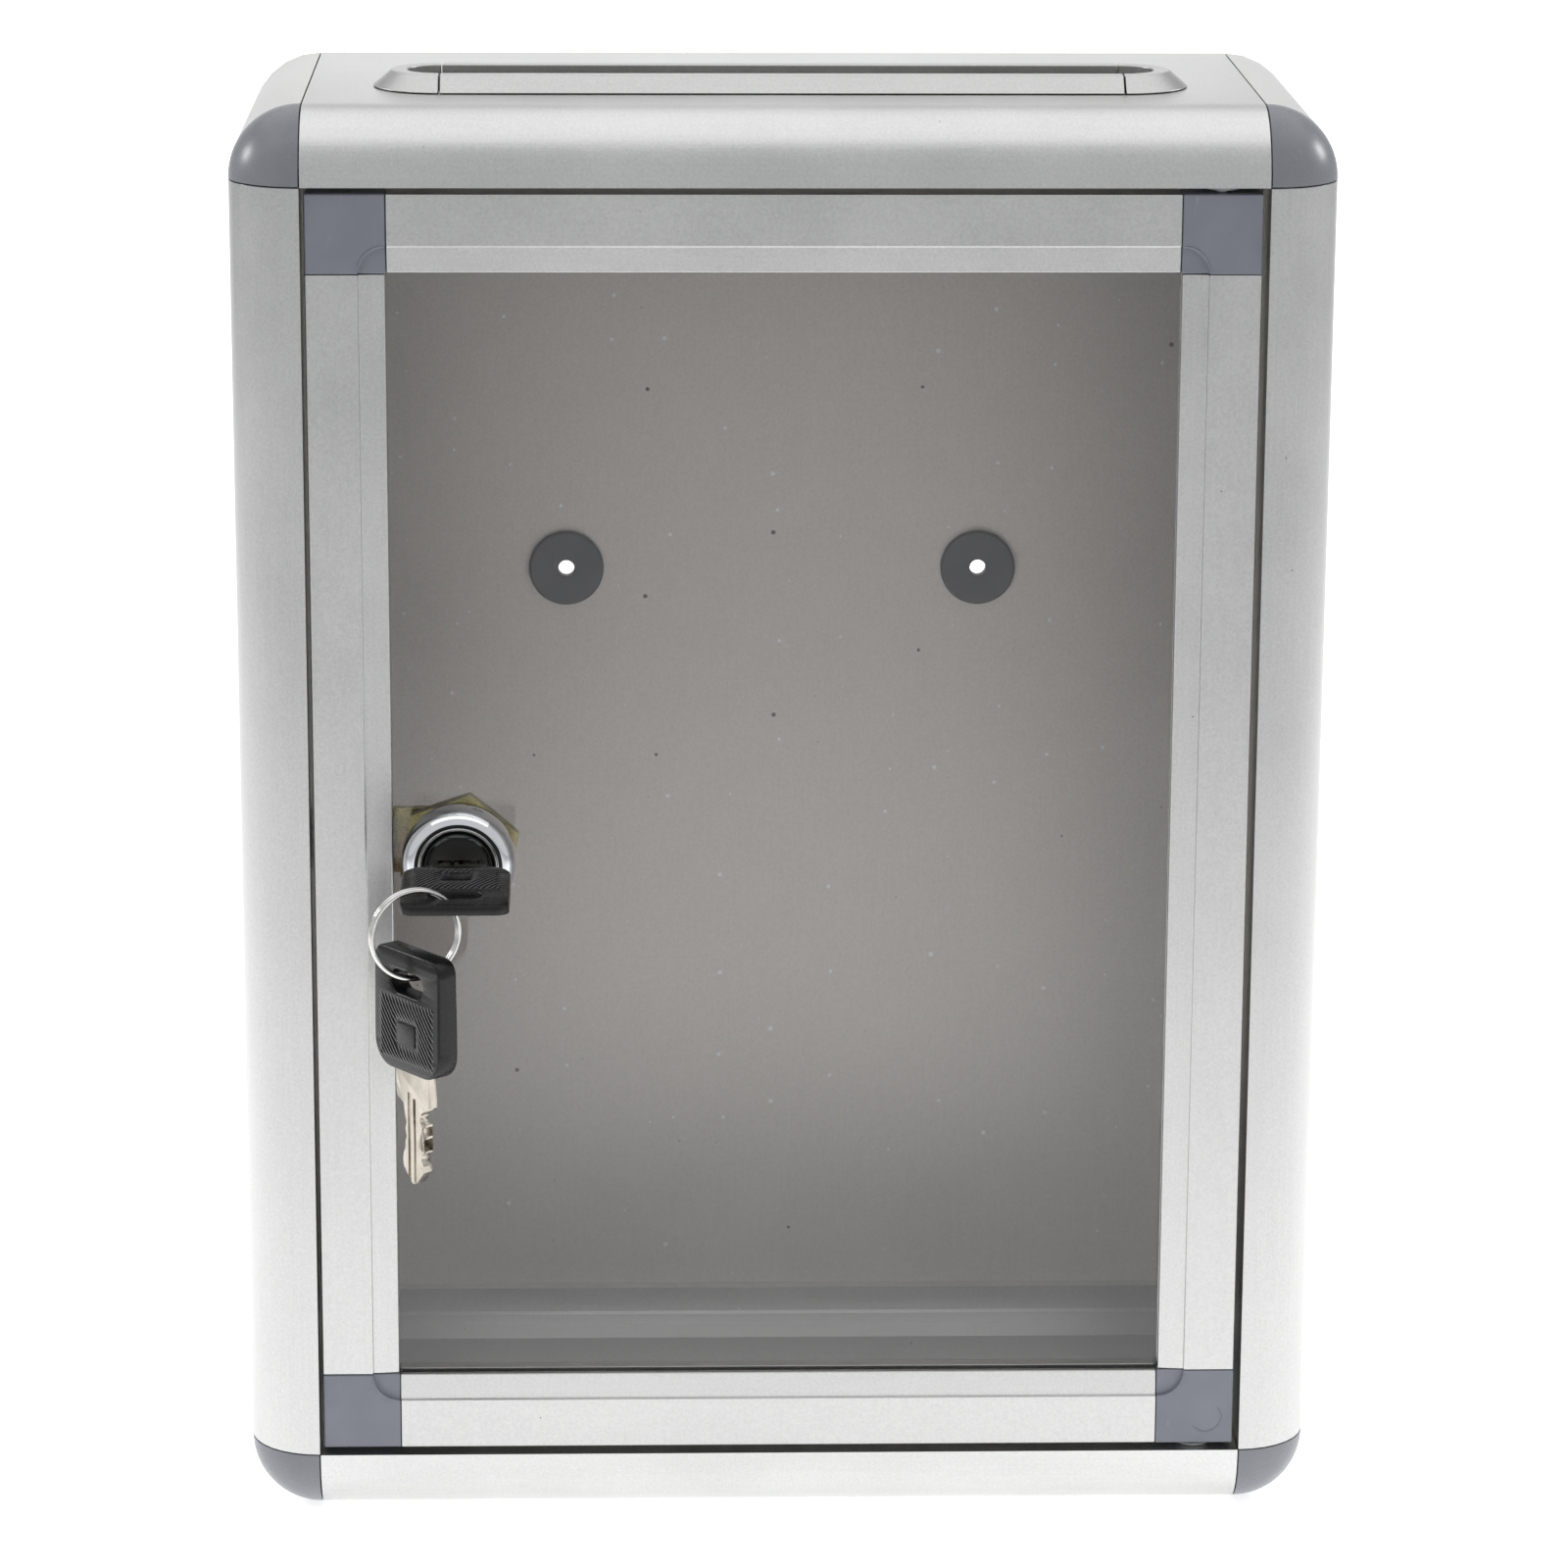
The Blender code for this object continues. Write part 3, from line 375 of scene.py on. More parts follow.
FINISHES = {
    "wall_x": aluminium("aluminium_across", "x", (0.56, 0.563, 0.556), (0.68, 0.682, 0.672)),
    # Painted light: the bottom wall takes a lighter copy of the aluminium, standing for the bright floor it reflects.
    "wall_low_painted_light": aluminium("aluminium_painted_light", "x", (0.62, 0.623, 0.615), (0.74, 0.742, 0.732)),
    "wall_z": aluminium("aluminium_upright", "z", (0.56, 0.563, 0.556), (0.68, 0.682, 0.672)),
    "post": aluminium("aluminium_post", "y", (0.57, 0.57, 0.558), (0.69, 0.69, 0.675)),
    "trim": aluminium("aluminium_trim", "x", (0.46, 0.462, 0.455), (0.56, 0.562, 0.552)),
    "panel": aluminium(
        "aluminium_panel",
        "z",
        (0.67, 0.628, 0.588),
        (0.79, 0.745, 0.70),
        (0.42, 0.52),
        lined=0.1,
        metallic=0.25,
        relief=0.06,
        dusty=True,
    ),
    "grey": moulded("grey_plastic_finish", (0.185, 0.195, 0.232), (0.215, 0.225, 0.26)),
    "cap": moulded("cap_finish", (0.195, 0.198, 0.222), (0.225, 0.228, 0.25), (0.26, 0.34)),
    "dark": moulded("dark_plastic_finish", (0.1, 0.101, 0.109), (0.125, 0.126, 0.136)),
    "bush": moulded("bush_finish", (0.34, 0.345, 0.35), (0.42, 0.425, 0.43)),
    "black": moulded(
        "black_plastic_finish", (0.004, 0.004, 0.0045), (0.008, 0.008, 0.009), (0.24, 0.34), Specular_IOR_Level=0.35
    ),
    # The crests of the grip ridges are coloured a lighter grey than the black bow.
    "lighter_crest": moulded("lighter_crest_finish", (0.17, 0.17, 0.172), (0.25, 0.25, 0.252), (0.28, 0.4)),
    "chrome": plated("chrome_finish", (0.78, 0.79, 0.82), (0.86, 0.87, 0.9), (0.03, 0.07), 6 * MM),
    # Black lacquer of the lock plug, also used as painted shade in the housing's groove and bore.
    "lacquer_and_painted_shade": moulded("black_lock_and_painted_shade_finish", (0.014, 0.015, 0.014), (0.024, 0.026, 0.024), (0.3, 0.42)),
    "nickel": plated("nickel_finish", (0.46, 0.42, 0.365), (0.62, 0.575, 0.505), (0.2, 0.34), 3 * MM, "z"),
    "wire": plated("steel_wire_finish", (0.62, 0.61, 0.60), (0.80, 0.79, 0.78), (0.12, 0.22), 3 * MM),
    "zinc": plated("zinc_steel_finish", (0.60, 0.61, 0.62), (0.74, 0.75, 0.76), (0.25, 0.38), 3 * MM),
    "yellow": zinc_yellow(),
    "acrylic": acrylic(),
}

# ---- CAD nodes that stay, with eased edges and a detailed finish --------------------------------------
KEPT = {  # the finish, and the edge radius in millimetres
    "top_wall": ("wall_x", 0.35),
    # Painted light: the bottom wall uses the lighter copy of the aluminium.
    "bottom_wall": ("wall_low_painted_light", 0.35),
    "left_wall": ("wall_z", 0.35),
    "right_wall": ("wall_z", 0.35),
    "corner_post_top_left": ("post", 0.3),
    "corner_post_top_right": ("post", 0.3),
    "corner_post_bottom_left": ("post", 0.3),
    "corner_post_bottom_right": ("post", 0.3),
    "back_panel": ("panel", 0.2),
    "slot_trim_front": ("trim", 0.3),
    "slot_trim_rear": ("trim", 0.3),
    "slot_trim_left": ("trim", 0.3),
    "slot_trim_right": ("trim", 0.3),
    "hinge_bush_top": ("bush", 0.15),
    "hinge_bush_bottom": ("bush", 0.15),
    "hinge_pin_top": ("zinc", 0.1),
    "hinge_pin_bottom": ("zinc", 0.1),
    "door_rail_top": ("wall_x", 0.25),
    "door_rail_bottom": ("wall_x", 0.25),
    "door_stile_left": ("wall_z", 0.25),
    "door_stile_right": ("wall_z", 0.25),
    "door_corner_top_left": ("grey", 0.35),
    "door_corner_top_right": ("grey", 0.35),
    "door_corner_bottom_left": ("grey", 0.35),
    "door_corner_bottom_right": ("grey", 0.35),
    "door_pane": ("acrylic", 0.0),
    "lock_cam": ("yellow", 0.2),
}


def ease(node, finish, width):
    """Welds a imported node, merges its flat faces, rounds its edges by width and repaints it."""
    obj = NODES[node]
    mesh = obj.data
    if "custom_normal" in mesh.attributes:
        mesh.attributes.remove(mesh.attributes["custom_normal"])
    mesh.polygons.foreach_set("use_smooth", [width > 0] * len(mesh.polygons))
    weld = obj.modifiers.new("weld", "WELD")
    weld.merge_threshold = 0.01 * MM
    flat = obj.modifiers.new("merge_flat_faces", "DECIMATE")
    flat.decimate_type = "DISSOLVE"
    flat.angle_limit = math.radians(0.6)
    if width > 0:
        bevel(obj, width * MM)
    mesh.materials.clear()
    mesh.materials.append(finish)


for kept_node, (kept_finish, kept_width) in KEPT.items():
    ease(kept_node, FINISHES[kept_finish], kept_width)


# ---- Corner caps ------------------------------------------------------------------------------------
def corner_cap(name, side, level):
    """An eighth of a ball with eased rims, over the front end of a corner post."""
    steps, radius = 18, CORNER_R - JOINT_GAP
    height = TOP_Z - CORNER_R if level > 0 else CORNER_R
    centre = Vector((side * (HALF_WIDTH - CORNER_R), FRONT_Y + CORNER_R, height))
    shape = bmesh.new()

    def point(polar, turn):
        across = JOINT_GAP + radius * math.sin(polar) * math.cos(turn)
        up = JOINT_GAP + radius * math.sin(polar) * math.sin(turn)
        return shape.verts.new(centre + Vector((side * across, -radius * math.cos(polar), level * up)))

    quarter = math.pi / 2
    pole = point(0.0, 0.0)
    angles = [quarter * i / steps for i in range(steps + 1)]
    rows = [[point(polar, turn) for turn in angles] for polar in angles[1:]]
    core = shape.verts.new(centre + Vector((side * JOINT_GAP, 0.0, level * JOINT_GAP)))
    for j in range(steps):
        shape.faces.new((pole, rows[0][j], rows[0][j + 1]))
    for upper, lower in zip(rows, rows[1:]):
        for j in range(steps):
            shape.faces.new((upper[j], lower[j], lower[j + 1], upper[j + 1]))
    shape.faces.new([core, pole] + [row[0] for row in rows])
    shape.faces.new([core, pole] + [row[-1] for row in rows])
    shape.faces.new([core] + rows[-1])
    bmesh.ops.recalc_face_normals(shape, faces=shape.faces)
    cap = object_of(f"cap_{name}", shape)
    bevel(cap, 0.35 * MM)
    apply_modifiers(cap)
    settle(cap, Matrix.Identity(4), FINISHES["cap"], "case", "grey_plastic", f"corner_cap_{name}")


for corner in CORNERS:
    corner_cap(*corner)


# ---- Moulded marks on the door corners ----------------------------------------------------------------
def bead(name, centre, radius, start, end, thick):
    """A thin raised line on a door corner, thinning out at both ends."""
    steps, sides, fade, thinnest = 28, 8, 6, 0.08
    turns = [2 * math.pi * k / sides for k in range(sides)]
    shape = bmesh.new()
    rings = []
    for i in range(steps + 1):
        angle = math.radians(start + (end - start) * i / steps)
        size = thick * max(thinnest, min(1.0, fade * i / steps, fade * (steps - i) / steps))
        out = Vector((math.cos(angle), 0.0, math.sin(angle)))
        middle = centre + out * radius
        offsets = [out * math.cos(t) + Vector((0, math.sin(t), 0)) for t in turns]
        rings.append([shape.verts.new(middle + offset * size) for offset in offsets])
    skin(shape, rings)
    made = object_of(name, shape, 60)
    settle(made, Matrix.Identity(4), FINISHES["grey"], "door", "grey_plastic")


def corner_marks():
    """The bead round the inner corner of each door corner, and the ejector mark on one of them."""
    radius, thick = 5.5 * MM, 0.24 * MM
    start_angles = {(-1, 1): 90, (1, 1): 0, (-1, -1): 180, (1, -1): 270}
    for name, side, level in CORNERS:
        low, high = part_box(f"door_corner_{name}")
        across = low.x + MEMBER if side < 0 else high.x - MEMBER
        centre = Vector((across, low.y, high.z - MEMBER if level > 0 else low.z + MEMBER))
        start = start_angles[side, level]
        bead(f"corner_bead_{name}", centre, radius, start, start + 90, thick)
    low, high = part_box("door_corner_bottom_right")
    inset, mark_radius, mark_thick = 5.7 * MM, 3.3 * MM, 0.17 * MM
    bead("ejector_mark", Vector((high.x - inset, low.y, low.z + inset)), mark_radius, -160, 55, mark_thick)


corner_marks()


# ---- Wall grommets and panel screws --------------------------------------------------------------------
FACING_FRONT = Matrix.Rotation(math.radians(90), 4, "X")  # own +Z points to the front, own +Y up


def grommet(side):
    """A dished rubber washer with a neck through the back panel."""
    low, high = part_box(f"wall_grommet_{side}")
    centre = (low + high) / 2
    radius, hole, neck = (high.x - low.x) / 2, 1.75 * MM, 3.9 * MM
    face = high.y - low.y
    seat = face - (PANEL_LOW.y - low.y)
    profile = [
        (hole, 0.0),
        (neck, 0.0),
        (neck, seat + 0.2 * MM),
        (radius, seat + 0.2 * MM),
        (radius, face - 0.9 * MM),
    ]
    profile += arc((radius - 0.6 * MM, face - 0.7 * MM), 0.6 * MM, 20, 100, 5)
    profile += [(radius * 0.62, face - 0.12 * MM), (hole + 1.5 * MM, face - 0.35 * MM)]
    profile += arc((hole + 0.5 * MM, face - 0.85 * MM), 0.5 * MM, 90, 180, 4)
    made = object_of(f"grommet_{side}", turned([(r, t - seat) for r, t in profile], 64))
    place = Matrix.Translation((centre.x, high.y - seat, centre.z)) @ FACING_FRONT
    settle(made, place, FINISHES["dark"], "case", "dark_plastic", f"wall_grommet_{side}")


def panel_screw(name):
    """A countersunk screw with a cross recess, seen from behind."""
    low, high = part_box(f"panel_screw_{name}")
    head, length = (high.x - low.x) / 2, high.y - low.y
    shank = 1.2 * MM
    profile = [(0.0, 0.0), (head - 0.1 * MM, 0.0), (head, -0.1 * MM), (head, -0.25 * MM), (shank, -1.6 * MM)]
    pitch = 1.0 * MM
    turns = int((length - 4 * MM) / pitch)
    for i in range(turns):
        start = -2.2 * MM - i * pitch
        profile += [(shank - 0.25 * MM, start), (shank, start - pitch / 2)]
    profile += [(shank - 0.25 * MM, -length + 1.6 * MM), (0.0, -length)]
    made = object_of(f"screw_{name}", turned(profile, 32))
    for across, along in ((1.5, 0.3), (0.3, 1.5)):
        recess = box_shape((-across * MM, -along * MM, -1.0 * MM), (across * MM, along * MM, 1.0 * MM))
        boolean(made, recess, "DIFFERENCE")
    made.data.set_sharp_from_angle(angle=math.radians(35))
    place = Matrix.Translation(((low.x + high.x) / 2, high.y, (low.z + high.z) / 2))
    place = place @ Matrix.Rotation(math.radians(-90), 4, "X") @ Matrix.Rotation(math.radians(37), 4, "Z")
    settle(made, place, FINISHES["zinc"], "case", "zinc_steel", f"panel_screw_{name}")


for grommet_side in ("left", "right"):
    grommet(grommet_side)
for corner in CORNERS:
    panel_screw(corner[0])


# ---- Cam lock -----------------------------------------------------------------------------------------
HOUSE_LOW, HOUSE_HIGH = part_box("lock_housing")
NUT_LOW, NUT_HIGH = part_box("lock_nut")
CAM_NUT_LOW, CAM_NUT_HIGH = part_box("cam_nut")
HEAD_R = (HOUSE_HIGH.x - HOUSE_LOW.x) / 2
HEAD_FACE_R, BARREL_R, BARREL_FLAT, BORE_R, PLUG_R = 9.1 * MM, 9.4 * MM, 8.3 * MM, 7.2 * MM, 7.0 * MM
HEAD_LENGTH = 6.8 * MM
RIM_R, GROOVE_R = 8.0 * MM, 8.25 * MM
GROOVES = (-1.2 * MM, 0.6 * MM)  # middles of the grooves across a key's blade; each takes a ward of the keyway


def lock_frame(front):
    """A frame on the lock's axis that starts at front, with its own +Z back into the box and +Y down."""
    return Matrix.Translation((LOCK.x, front, LOCK.z)) @ Matrix.Rotation(math.radians(-90), 4, "X")


def lock_housing():
    """Domed chrome head and a threaded barrel with two flats. Own +Z runs back into the box."""
    length, root = HOUSE_HIGH.y - HOUSE_LOW.y, BARREL_R - 0.5 * MM
    dome = [
        (HEAD_FACE_R + (HEAD_R - HEAD_FACE_R) * math.sin(t), 4.7 * MM * (1 - math.cos(t)))
        for t in [math.pi / 2 * i / 14 for i in range(15)]
    ]
    profile = [(BORE_R, 1.2 * MM), (BORE_R + 0.1 * MM, 0.8 * MM), (RIM_R - 0.2 * MM, 0.2 * MM), (RIM_R, 0.15 * MM)]
    profile += [(GROOVE_R, 0.2 * MM), (GROOVE_R + 0.1 * MM, 0.8 * MM), (HEAD_FACE_R - 0.1 * MM, 0.8 * MM)] + dome
    profile += [(HEAD_R, HEAD_LENGTH - 0.35 * MM), (HEAD_R - 0.3 * MM, HEAD_LENGTH), (root, HEAD_LENGTH)]
    pitch, start = 1.0 * MM, HEAD_LENGTH + 3.4 * MM
    profile.append((root, start - 0.4 * MM))
    while start + pitch < length - 0.6 * MM:
        profile += [(BARREL_R, start), (BARREL_R, start + 0.15 * MM), (root, start + 0.6 * MM)]
        start += pitch
    profile += [(root, length), (BORE_R, length)]
    shape = turned(profile, 96)
    for vertex in shape.verts:
        if vertex.co.z > HEAD_LENGTH and abs(vertex.co.y) > BARREL_FLAT:
            vertex.co.y = math.copysign(BARREL_FLAT, vertex.co.y)
    made = object_of("housing", shape, 40)
    place = lock_frame(HOUSE_LOW.y)
    settle(made, place, (FINISHES["chrome"], FINISHES["lacquer_and_painted_shade"]), "door", "bright_chrome", "lock_housing")
    # Painted shade: faces in the groove round the head face and at the front of the bore take the black finish,
    # standing for the shade in these recesses.
    for face in made.data.polygons:
        spread = (face.center - place.translation) * Vector((1, 0, 1))
        ahead = face.center.y - HOUSE_LOW.y
        painted_groove_shade = GROOVE_R < spread.length < HEAD_FACE_R and ahead < 1.0 * MM
        bore = spread.length < RIM_R - 0.3 * MM and ahead < 1.3 * MM
        face.material_index = 1 if painted_groove_shade or bore else 0


def hex_nut(name, node, low, high, bore, turn, body, finish):
    """A hexagon nut with its corners turned off and a countersunk bore."""
    thick = high.y - low.y
    radius = (high.z - low.z) / 2
    made = object_of(name, extruded(circle(radius, 6, turn), 0.0, thick))
    fall = 0.13 * radius
    wide = radius + 0.1 * MM
    cap = [(0.0, 0.0), (radius - fall, 0.0), (wide, 0.4 * fall), (wide, thick - 0.4 * fall)]
    cap += [(radius - fall, thick), (0.0, thick)]
    boolean(made, turned(cap, 64), "INTERSECT")
    sink = 0.4 * MM
    hole = [(0.0, -0.1 * MM), (bore + sink, -0.1 * MM), (bore + sink, 0.0), (bore, sink), (bore, thick - sink)]
    hole += [(bore + sink, thick), (bore + sink, thick + 0.1 * MM), (0.0, thick + 0.1 * MM)]
    boolean(made, turned(hole, 48), "DIFFERENCE")
    made.data.set_sharp_from_angle(angle=math.radians(25))
    settle(made, lock_frame(low.y), finish, body, "yellow_zinc", node)


def lock_plug():
    """The plug: a black face with a raised bright rim, a stepped keyway, the tang and the stud."""
    length = PLUG_HIGH.y - PLUG_LOW.y
    rear, stud, tang_end = 17.9 * MM, 2.75 * MM, 19.9 * MM
    profile = [(0.0, 0.55 * MM), (PLUG_R - 1.0 * MM, 0.5 * MM), (PLUG_R - 0.85 * MM, 0.1 * MM)]
    profile += [(PLUG_R - 0.7 * MM, 0.0), (PLUG_R - 0.2 * MM, 0.0), (PLUG_R, 0.25 * MM), (PLUG_R, rear), (stud, rear)]
    start = tang_end + 0.2 * MM
    while start + 0.8 * MM < length:
        profile += [(stud, start), (stud - 0.3 * MM, start + 0.35 * MM)]
        start += 0.7 * MM
    profile += [(stud - 0.3 * MM, length), (0.0, length)]
    made = object_of("plug", turned(profile, 72), 30)
    half = 3.75 * MM
    boolean(made, box_shape((-half, -half, rear - 1.0 * MM), (half, half, tang_end)), "UNION")
    way, height, ward = 4.2 * MM, 1.3 * MM, 0.35 * MM
    base, crest = 0.3 * MM, 0.15 * MM
    first = ((-base, -height), (-crest, ward - height), (crest, ward - height), (base, -height))
    second = ((base, height), (crest, height - ward), (-crest, height - ward), (-base, height))
    outline = [(-way, -height)] + [(GROOVES[0] + p, q) for p, q in first] + [(way, -height), (way, height)]
    outline += [(GROOVES[1] + p, q) for p, q in second] + [(-way, height)]
    boolean(made, extruded(outline, -1.0 * MM, 16.8 * MM), "DIFFERENCE")
    made.data.set_sharp_from_angle(angle=math.radians(30))
    place = lock_frame(PLUG_LOW.y)
    settle(made, place, FINISHES["lacquer_and_painted_shade"], "lock_plug", "black_lock", "lock_plug")
    rim = [(PLUG_R - 0.72 * MM, -0.06 * MM), (PLUG_R - 0.25 * MM, -0.06 * MM), (PLUG_R - 0.2 * MM, 0.05 * MM)]
    rim += [(PLUG_R - 0.3 * MM, 0.25 * MM), (PLUG_R - 0.65 * MM, 0.25 * MM)]
    ring = object_of("plug_rim", turned(rim, 72))
    settle(ring, place, FINISHES["chrome"], "lock_plug", "bright_chrome")


lock_housing()
hex_nut("barrel_nut", "lock_nut", NUT_LOW, NUT_HIGH, BARREL_R + 0.2 * MM, -80, "door", FINISHES["yellow"])
hex_nut("cam_end_nut", "cam_nut", CAM_NUT_LOW, CAM_NUT_HIGH, 2.95 * MM, 0, "lock_plug", FINISHES["yellow"])
lock_plug()


# ---- Keys -----------------------------------------------------------------------------------------------
BOW_LENGTH, BOW_HALF, BOW_THICK, BOW_TAPER = 25.3 * MM, 11 * MM, 4.9 * MM, 9 * MM
EYE_HALF, EYE_R, EYE_INSET = 5.5 * MM, 2.4 * MM, 6.6 * MM
BLADE_THICK = 2.2 * MM
GRIP_TOP, GRIP_BOTTOM, GRIP_HALF = -15.4 * MM, -2.1 * MM, 9.1 * MM
BADGE_HALF, BADGE_LOW, BADGE_HIGH = 3.0 * MM, -10.4 * MM, -5.8 * MM


def bow_half_thickness(q, end_thick):
    """Half the bow's thickness at a distance q along the key: full near the blade, thinner at the ring end."""
    share = max(0.0, min(1.0, (-q - BOW_TAPER) / (BOW_LENGTH - BOW_TAPER)))
    return (BOW_THICK + (end_thick - BOW_THICK) * share) / 2


def clipped(start, end, low, high):
    """The two ends of a segment's part inside a rectangle, and their shares of its length, or None."""
    first, last = 0.0, 1.0
    for a, b, lower, upper in ((start[0], end[0], low[0], high[0]), (start[1], end[1], low[1], high[1])):
        run = b - a
        if abs(run) < 1e-9:
            if not lower <= a <= upper:
                return None
            continue
        near, far = sorted(((lower - a) / run, (upper - a) / run))
        first, last = max(first, near), min(last, far)
    if first >= last:
        return None
    ends = [(start[0] + (end[0] - start[0]) * s, start[1] + (end[1] - start[1]) * s) for s in (first, last)]
    return ends[0], ends[1], first, last


def grip_segments():
    """Diagonal grip ridges inside the grip panel, leaving the plain badge clear."""
    pitch, reach = 0.95 * MM, 26 * MM
    margin = 0.4 * MM
    low, high = (-GRIP_HALF, GRIP_TOP), (GRIP_HALF, GRIP_BOTTOM)
    hole_low = (-BADGE_HALF - margin, BADGE_LOW - margin)
    hole_high = (BADGE_HALF + margin, BADGE_HIGH + margin)
    segments = []
    for i in range(-24, 25):
        middle = (i * pitch * 1.2, (GRIP_TOP + GRIP_BOTTOM) / 2)
        start = (middle[0] - reach * 0.5, middle[1] - reach * 0.62)
        end = (middle[0] + reach * 0.5, middle[1] + reach * 0.62)
        whole = clipped(start, end, low, high)
        if not whole:
            continue
        hole = clipped(start, end, hole_low, hole_high)
        if not hole:
            segments.append(whole[:2])
            continue
        if hole[2] > whole[2] + 0.01:
            segments.append((whole[0], hole[0]))
        if whole[3] > hole[3] + 0.01:
            segments.append((hole[1], whole[1]))
    return segments


def add_ridge(shape, start, end, face, end_thick):
    """A low rounded rib from start to end on one face of the bow. Its crest has the second material."""
    width, height, sink, shortest, stride = 0.62 * MM, 0.3 * MM, 0.1 * MM, 0.9 * MM, 1.6 * MM
    run = Vector((end[0] - start[0], end[1] - start[1], 0.0))
    if run.length < shortest:
        return
    side = Vector((-run.y, run.x, 0.0)).normalized() * width / 2
    steps = max(2, int(run.length / stride))
    rows = []
    for i in range(steps + 1):
        share = i / steps
        middle = Vector((start[0], start[1], 0.0)) + run * share
        surface = bow_half_thickness(middle.y, end_thick)
        rise = height if 0 < i < steps else 0.0
        section = ((-1.0, -sink), (-0.3, rise * 0.9), (0.0, rise), (0.3, rise * 0.9), (1.0, -sink))
        places = [middle + side * s + Vector((0, 0, face * (surface + lift))) for s, lift in section]
        rows.append([shape.verts.new(place) for place in places])
    for here, there in zip(rows, rows[1:]):
        for k in range(4):
            crest = shape.faces.new((here[k], here[k + 1], there[k + 1], there[k]))
            crest.material_index = 1 if k in (1, 2) else 0
        shape.faces.new((here[4], here[0], there[0], there[4]))
    shape.faces.new(rows[0])
    shape.faces.new(rows[-1])


def key_bow(name, node, matrix, body, end_thick):
    """Moulded bow: eased outline, tapered to the ring end, an eye, ribbed grips and a plain badge."""
    outline = rounded_rectangle((-BOW_HALF, -BOW_LENGTH), (BOW_HALF, 0.0), [3 * MM, 3 * MM, 5.5 * MM, 5.5 * MM], 10)
    made = object_of(name, extruded(outline, -BOW_THICK / 2, BOW_THICK / 2))
    eye_y = EYE_INSET - BOW_LENGTH
    eye = arc((EYE_HALF - EYE_R, eye_y), EYE_R, -90, 90, 14) + arc((EYE_R - EYE_HALF, eye_y), EYE_R, 90, 270, 14)
    boolean(made, extruded(eye, -0.01, 0.01), "DIFFERENCE")
    bevel(made, 0.55 * MM, 4)
    apply_modifiers(made)
    shape = bmesh.new()
    shape.from_mesh(made.data)
    cuts = 22
    for i in range(1, cuts):
        parts = shape.verts[:] + shape.edges[:] + shape.faces[:]
        level = (0.0, -BOW_LENGTH * i / cuts, 0.0)
        bmesh.ops.bisect_plane(shape, geom=parts, plane_co=level, plane_no=(0.0, 1.0, 0.0), dist=1e-7)
    for vertex in shape.verts:
        vertex.co.z *= bow_half_thickness(vertex.co.y, end_thick) / (BOW_THICK / 2)
    for face in (-1, 1):
        for start, end in grip_segments():
            add_ridge(shape, start, end, face, end_thick)
        badge = rounded_rectangle((-BADGE_HALF, BADGE_LOW), (BADGE_HALF, BADGE_HIGH), [0.5 * MM] * 4, 4)
        inner = [(p * 0.93, BADGE_LOW + (q - BADGE_LOW) * 0.92 + 0.2 * MM) for p, q in badge]
        levels = ((badge, -0.15 * MM), (badge, 0.14 * MM), (inner, 0.22 * MM))
        rows = [
            [shape.verts.new((p, q, face * (bow_half_thickness(q, end_thick) + lift))) for p, q in ring]
            for ring, lift in levels
        ]
        for lower, upper in zip(rows, rows[1:]):
            for i in range(len(badge)):
                j = (i + 1) % len(badge)
                shape.faces.new((lower[i], lower[j], upper[j], upper[i]))
        shape.faces.new(rows[0])
        shape.faces.new(rows[-1])
    bmesh.ops.recalc_face_normals(shape, faces=shape.faces)
    shape.to_mesh(made.data)
    shape.free()
    made.data.shade_smooth()
    made.data.set_sharp_from_angle(angle=math.radians(38))
    settle(made, matrix, (FINISHES["black"], FINISHES["lighter_crest"]), body, "black_plastic", node)


def blade_outline():
    """The blade across and towards the tip: a shoulder, rounded bitting on +p and a flared, pointed end."""
    shoulder, tip = 7.0 * MM, 23.8 * MM
    right, left = 3.7 * MM, -2.7 * MM
    run = 0.9  # of each cut's flank along the blade, in millimetres like the cuts themselves
    points = [(5.6 * MM, 0.0), (5.6 * MM, shoulder - 0.5 * MM), (5.3 * MM, shoulder), (right, shoulder + 0.3 * MM)]
    for middle, depth, half in ((9.4, 1.3, 0.8), (12.0, 0.5, 0.7), (14.7, 1.5, 0.9), (17.6, 0.8, 0.7)):
        points += [
            (right, (middle - half - run) * MM),
            (right - depth * MM * 0.85, (middle - half) * MM),
            (right - depth * MM, middle * MM),
            (right - depth * MM * 0.85, (middle + half) * MM),
            (right, (middle + half + run) * MM),
        ]
    points += [(right - 0.2 * MM, tip - 3.2 * MM), (1.2 * MM, tip - 0.5 * MM), (0.3 * MM, tip)]
    points += [(-0.4 * MM, tip), (-1.4 * MM, tip - 0.9 * MM), (-3.3 * MM, tip - 3.0 * MM)]
    points += [(-3.6 * MM, tip - 4.6 * MM), (-3.3 * MM, tip - 6.0 * MM), (left, tip - 7.2 * MM)]
    for middle in (14.2, 11.2):
        points += [(left, (middle + 1.2) * MM), (left + 0.5 * MM, middle * MM), (left, (middle - 1.2) * MM)]
    points += [(left - 0.3 * MM, shoulder + 1.4 * MM), (left - 0.5 * MM, shoulder + 0.3 * MM)]
    return points + [(-5.3 * MM, shoulder - 0.9 * MM), (-5.6 * MM, shoulder - 1.6 * MM), (-5.6 * MM, 0.0)]


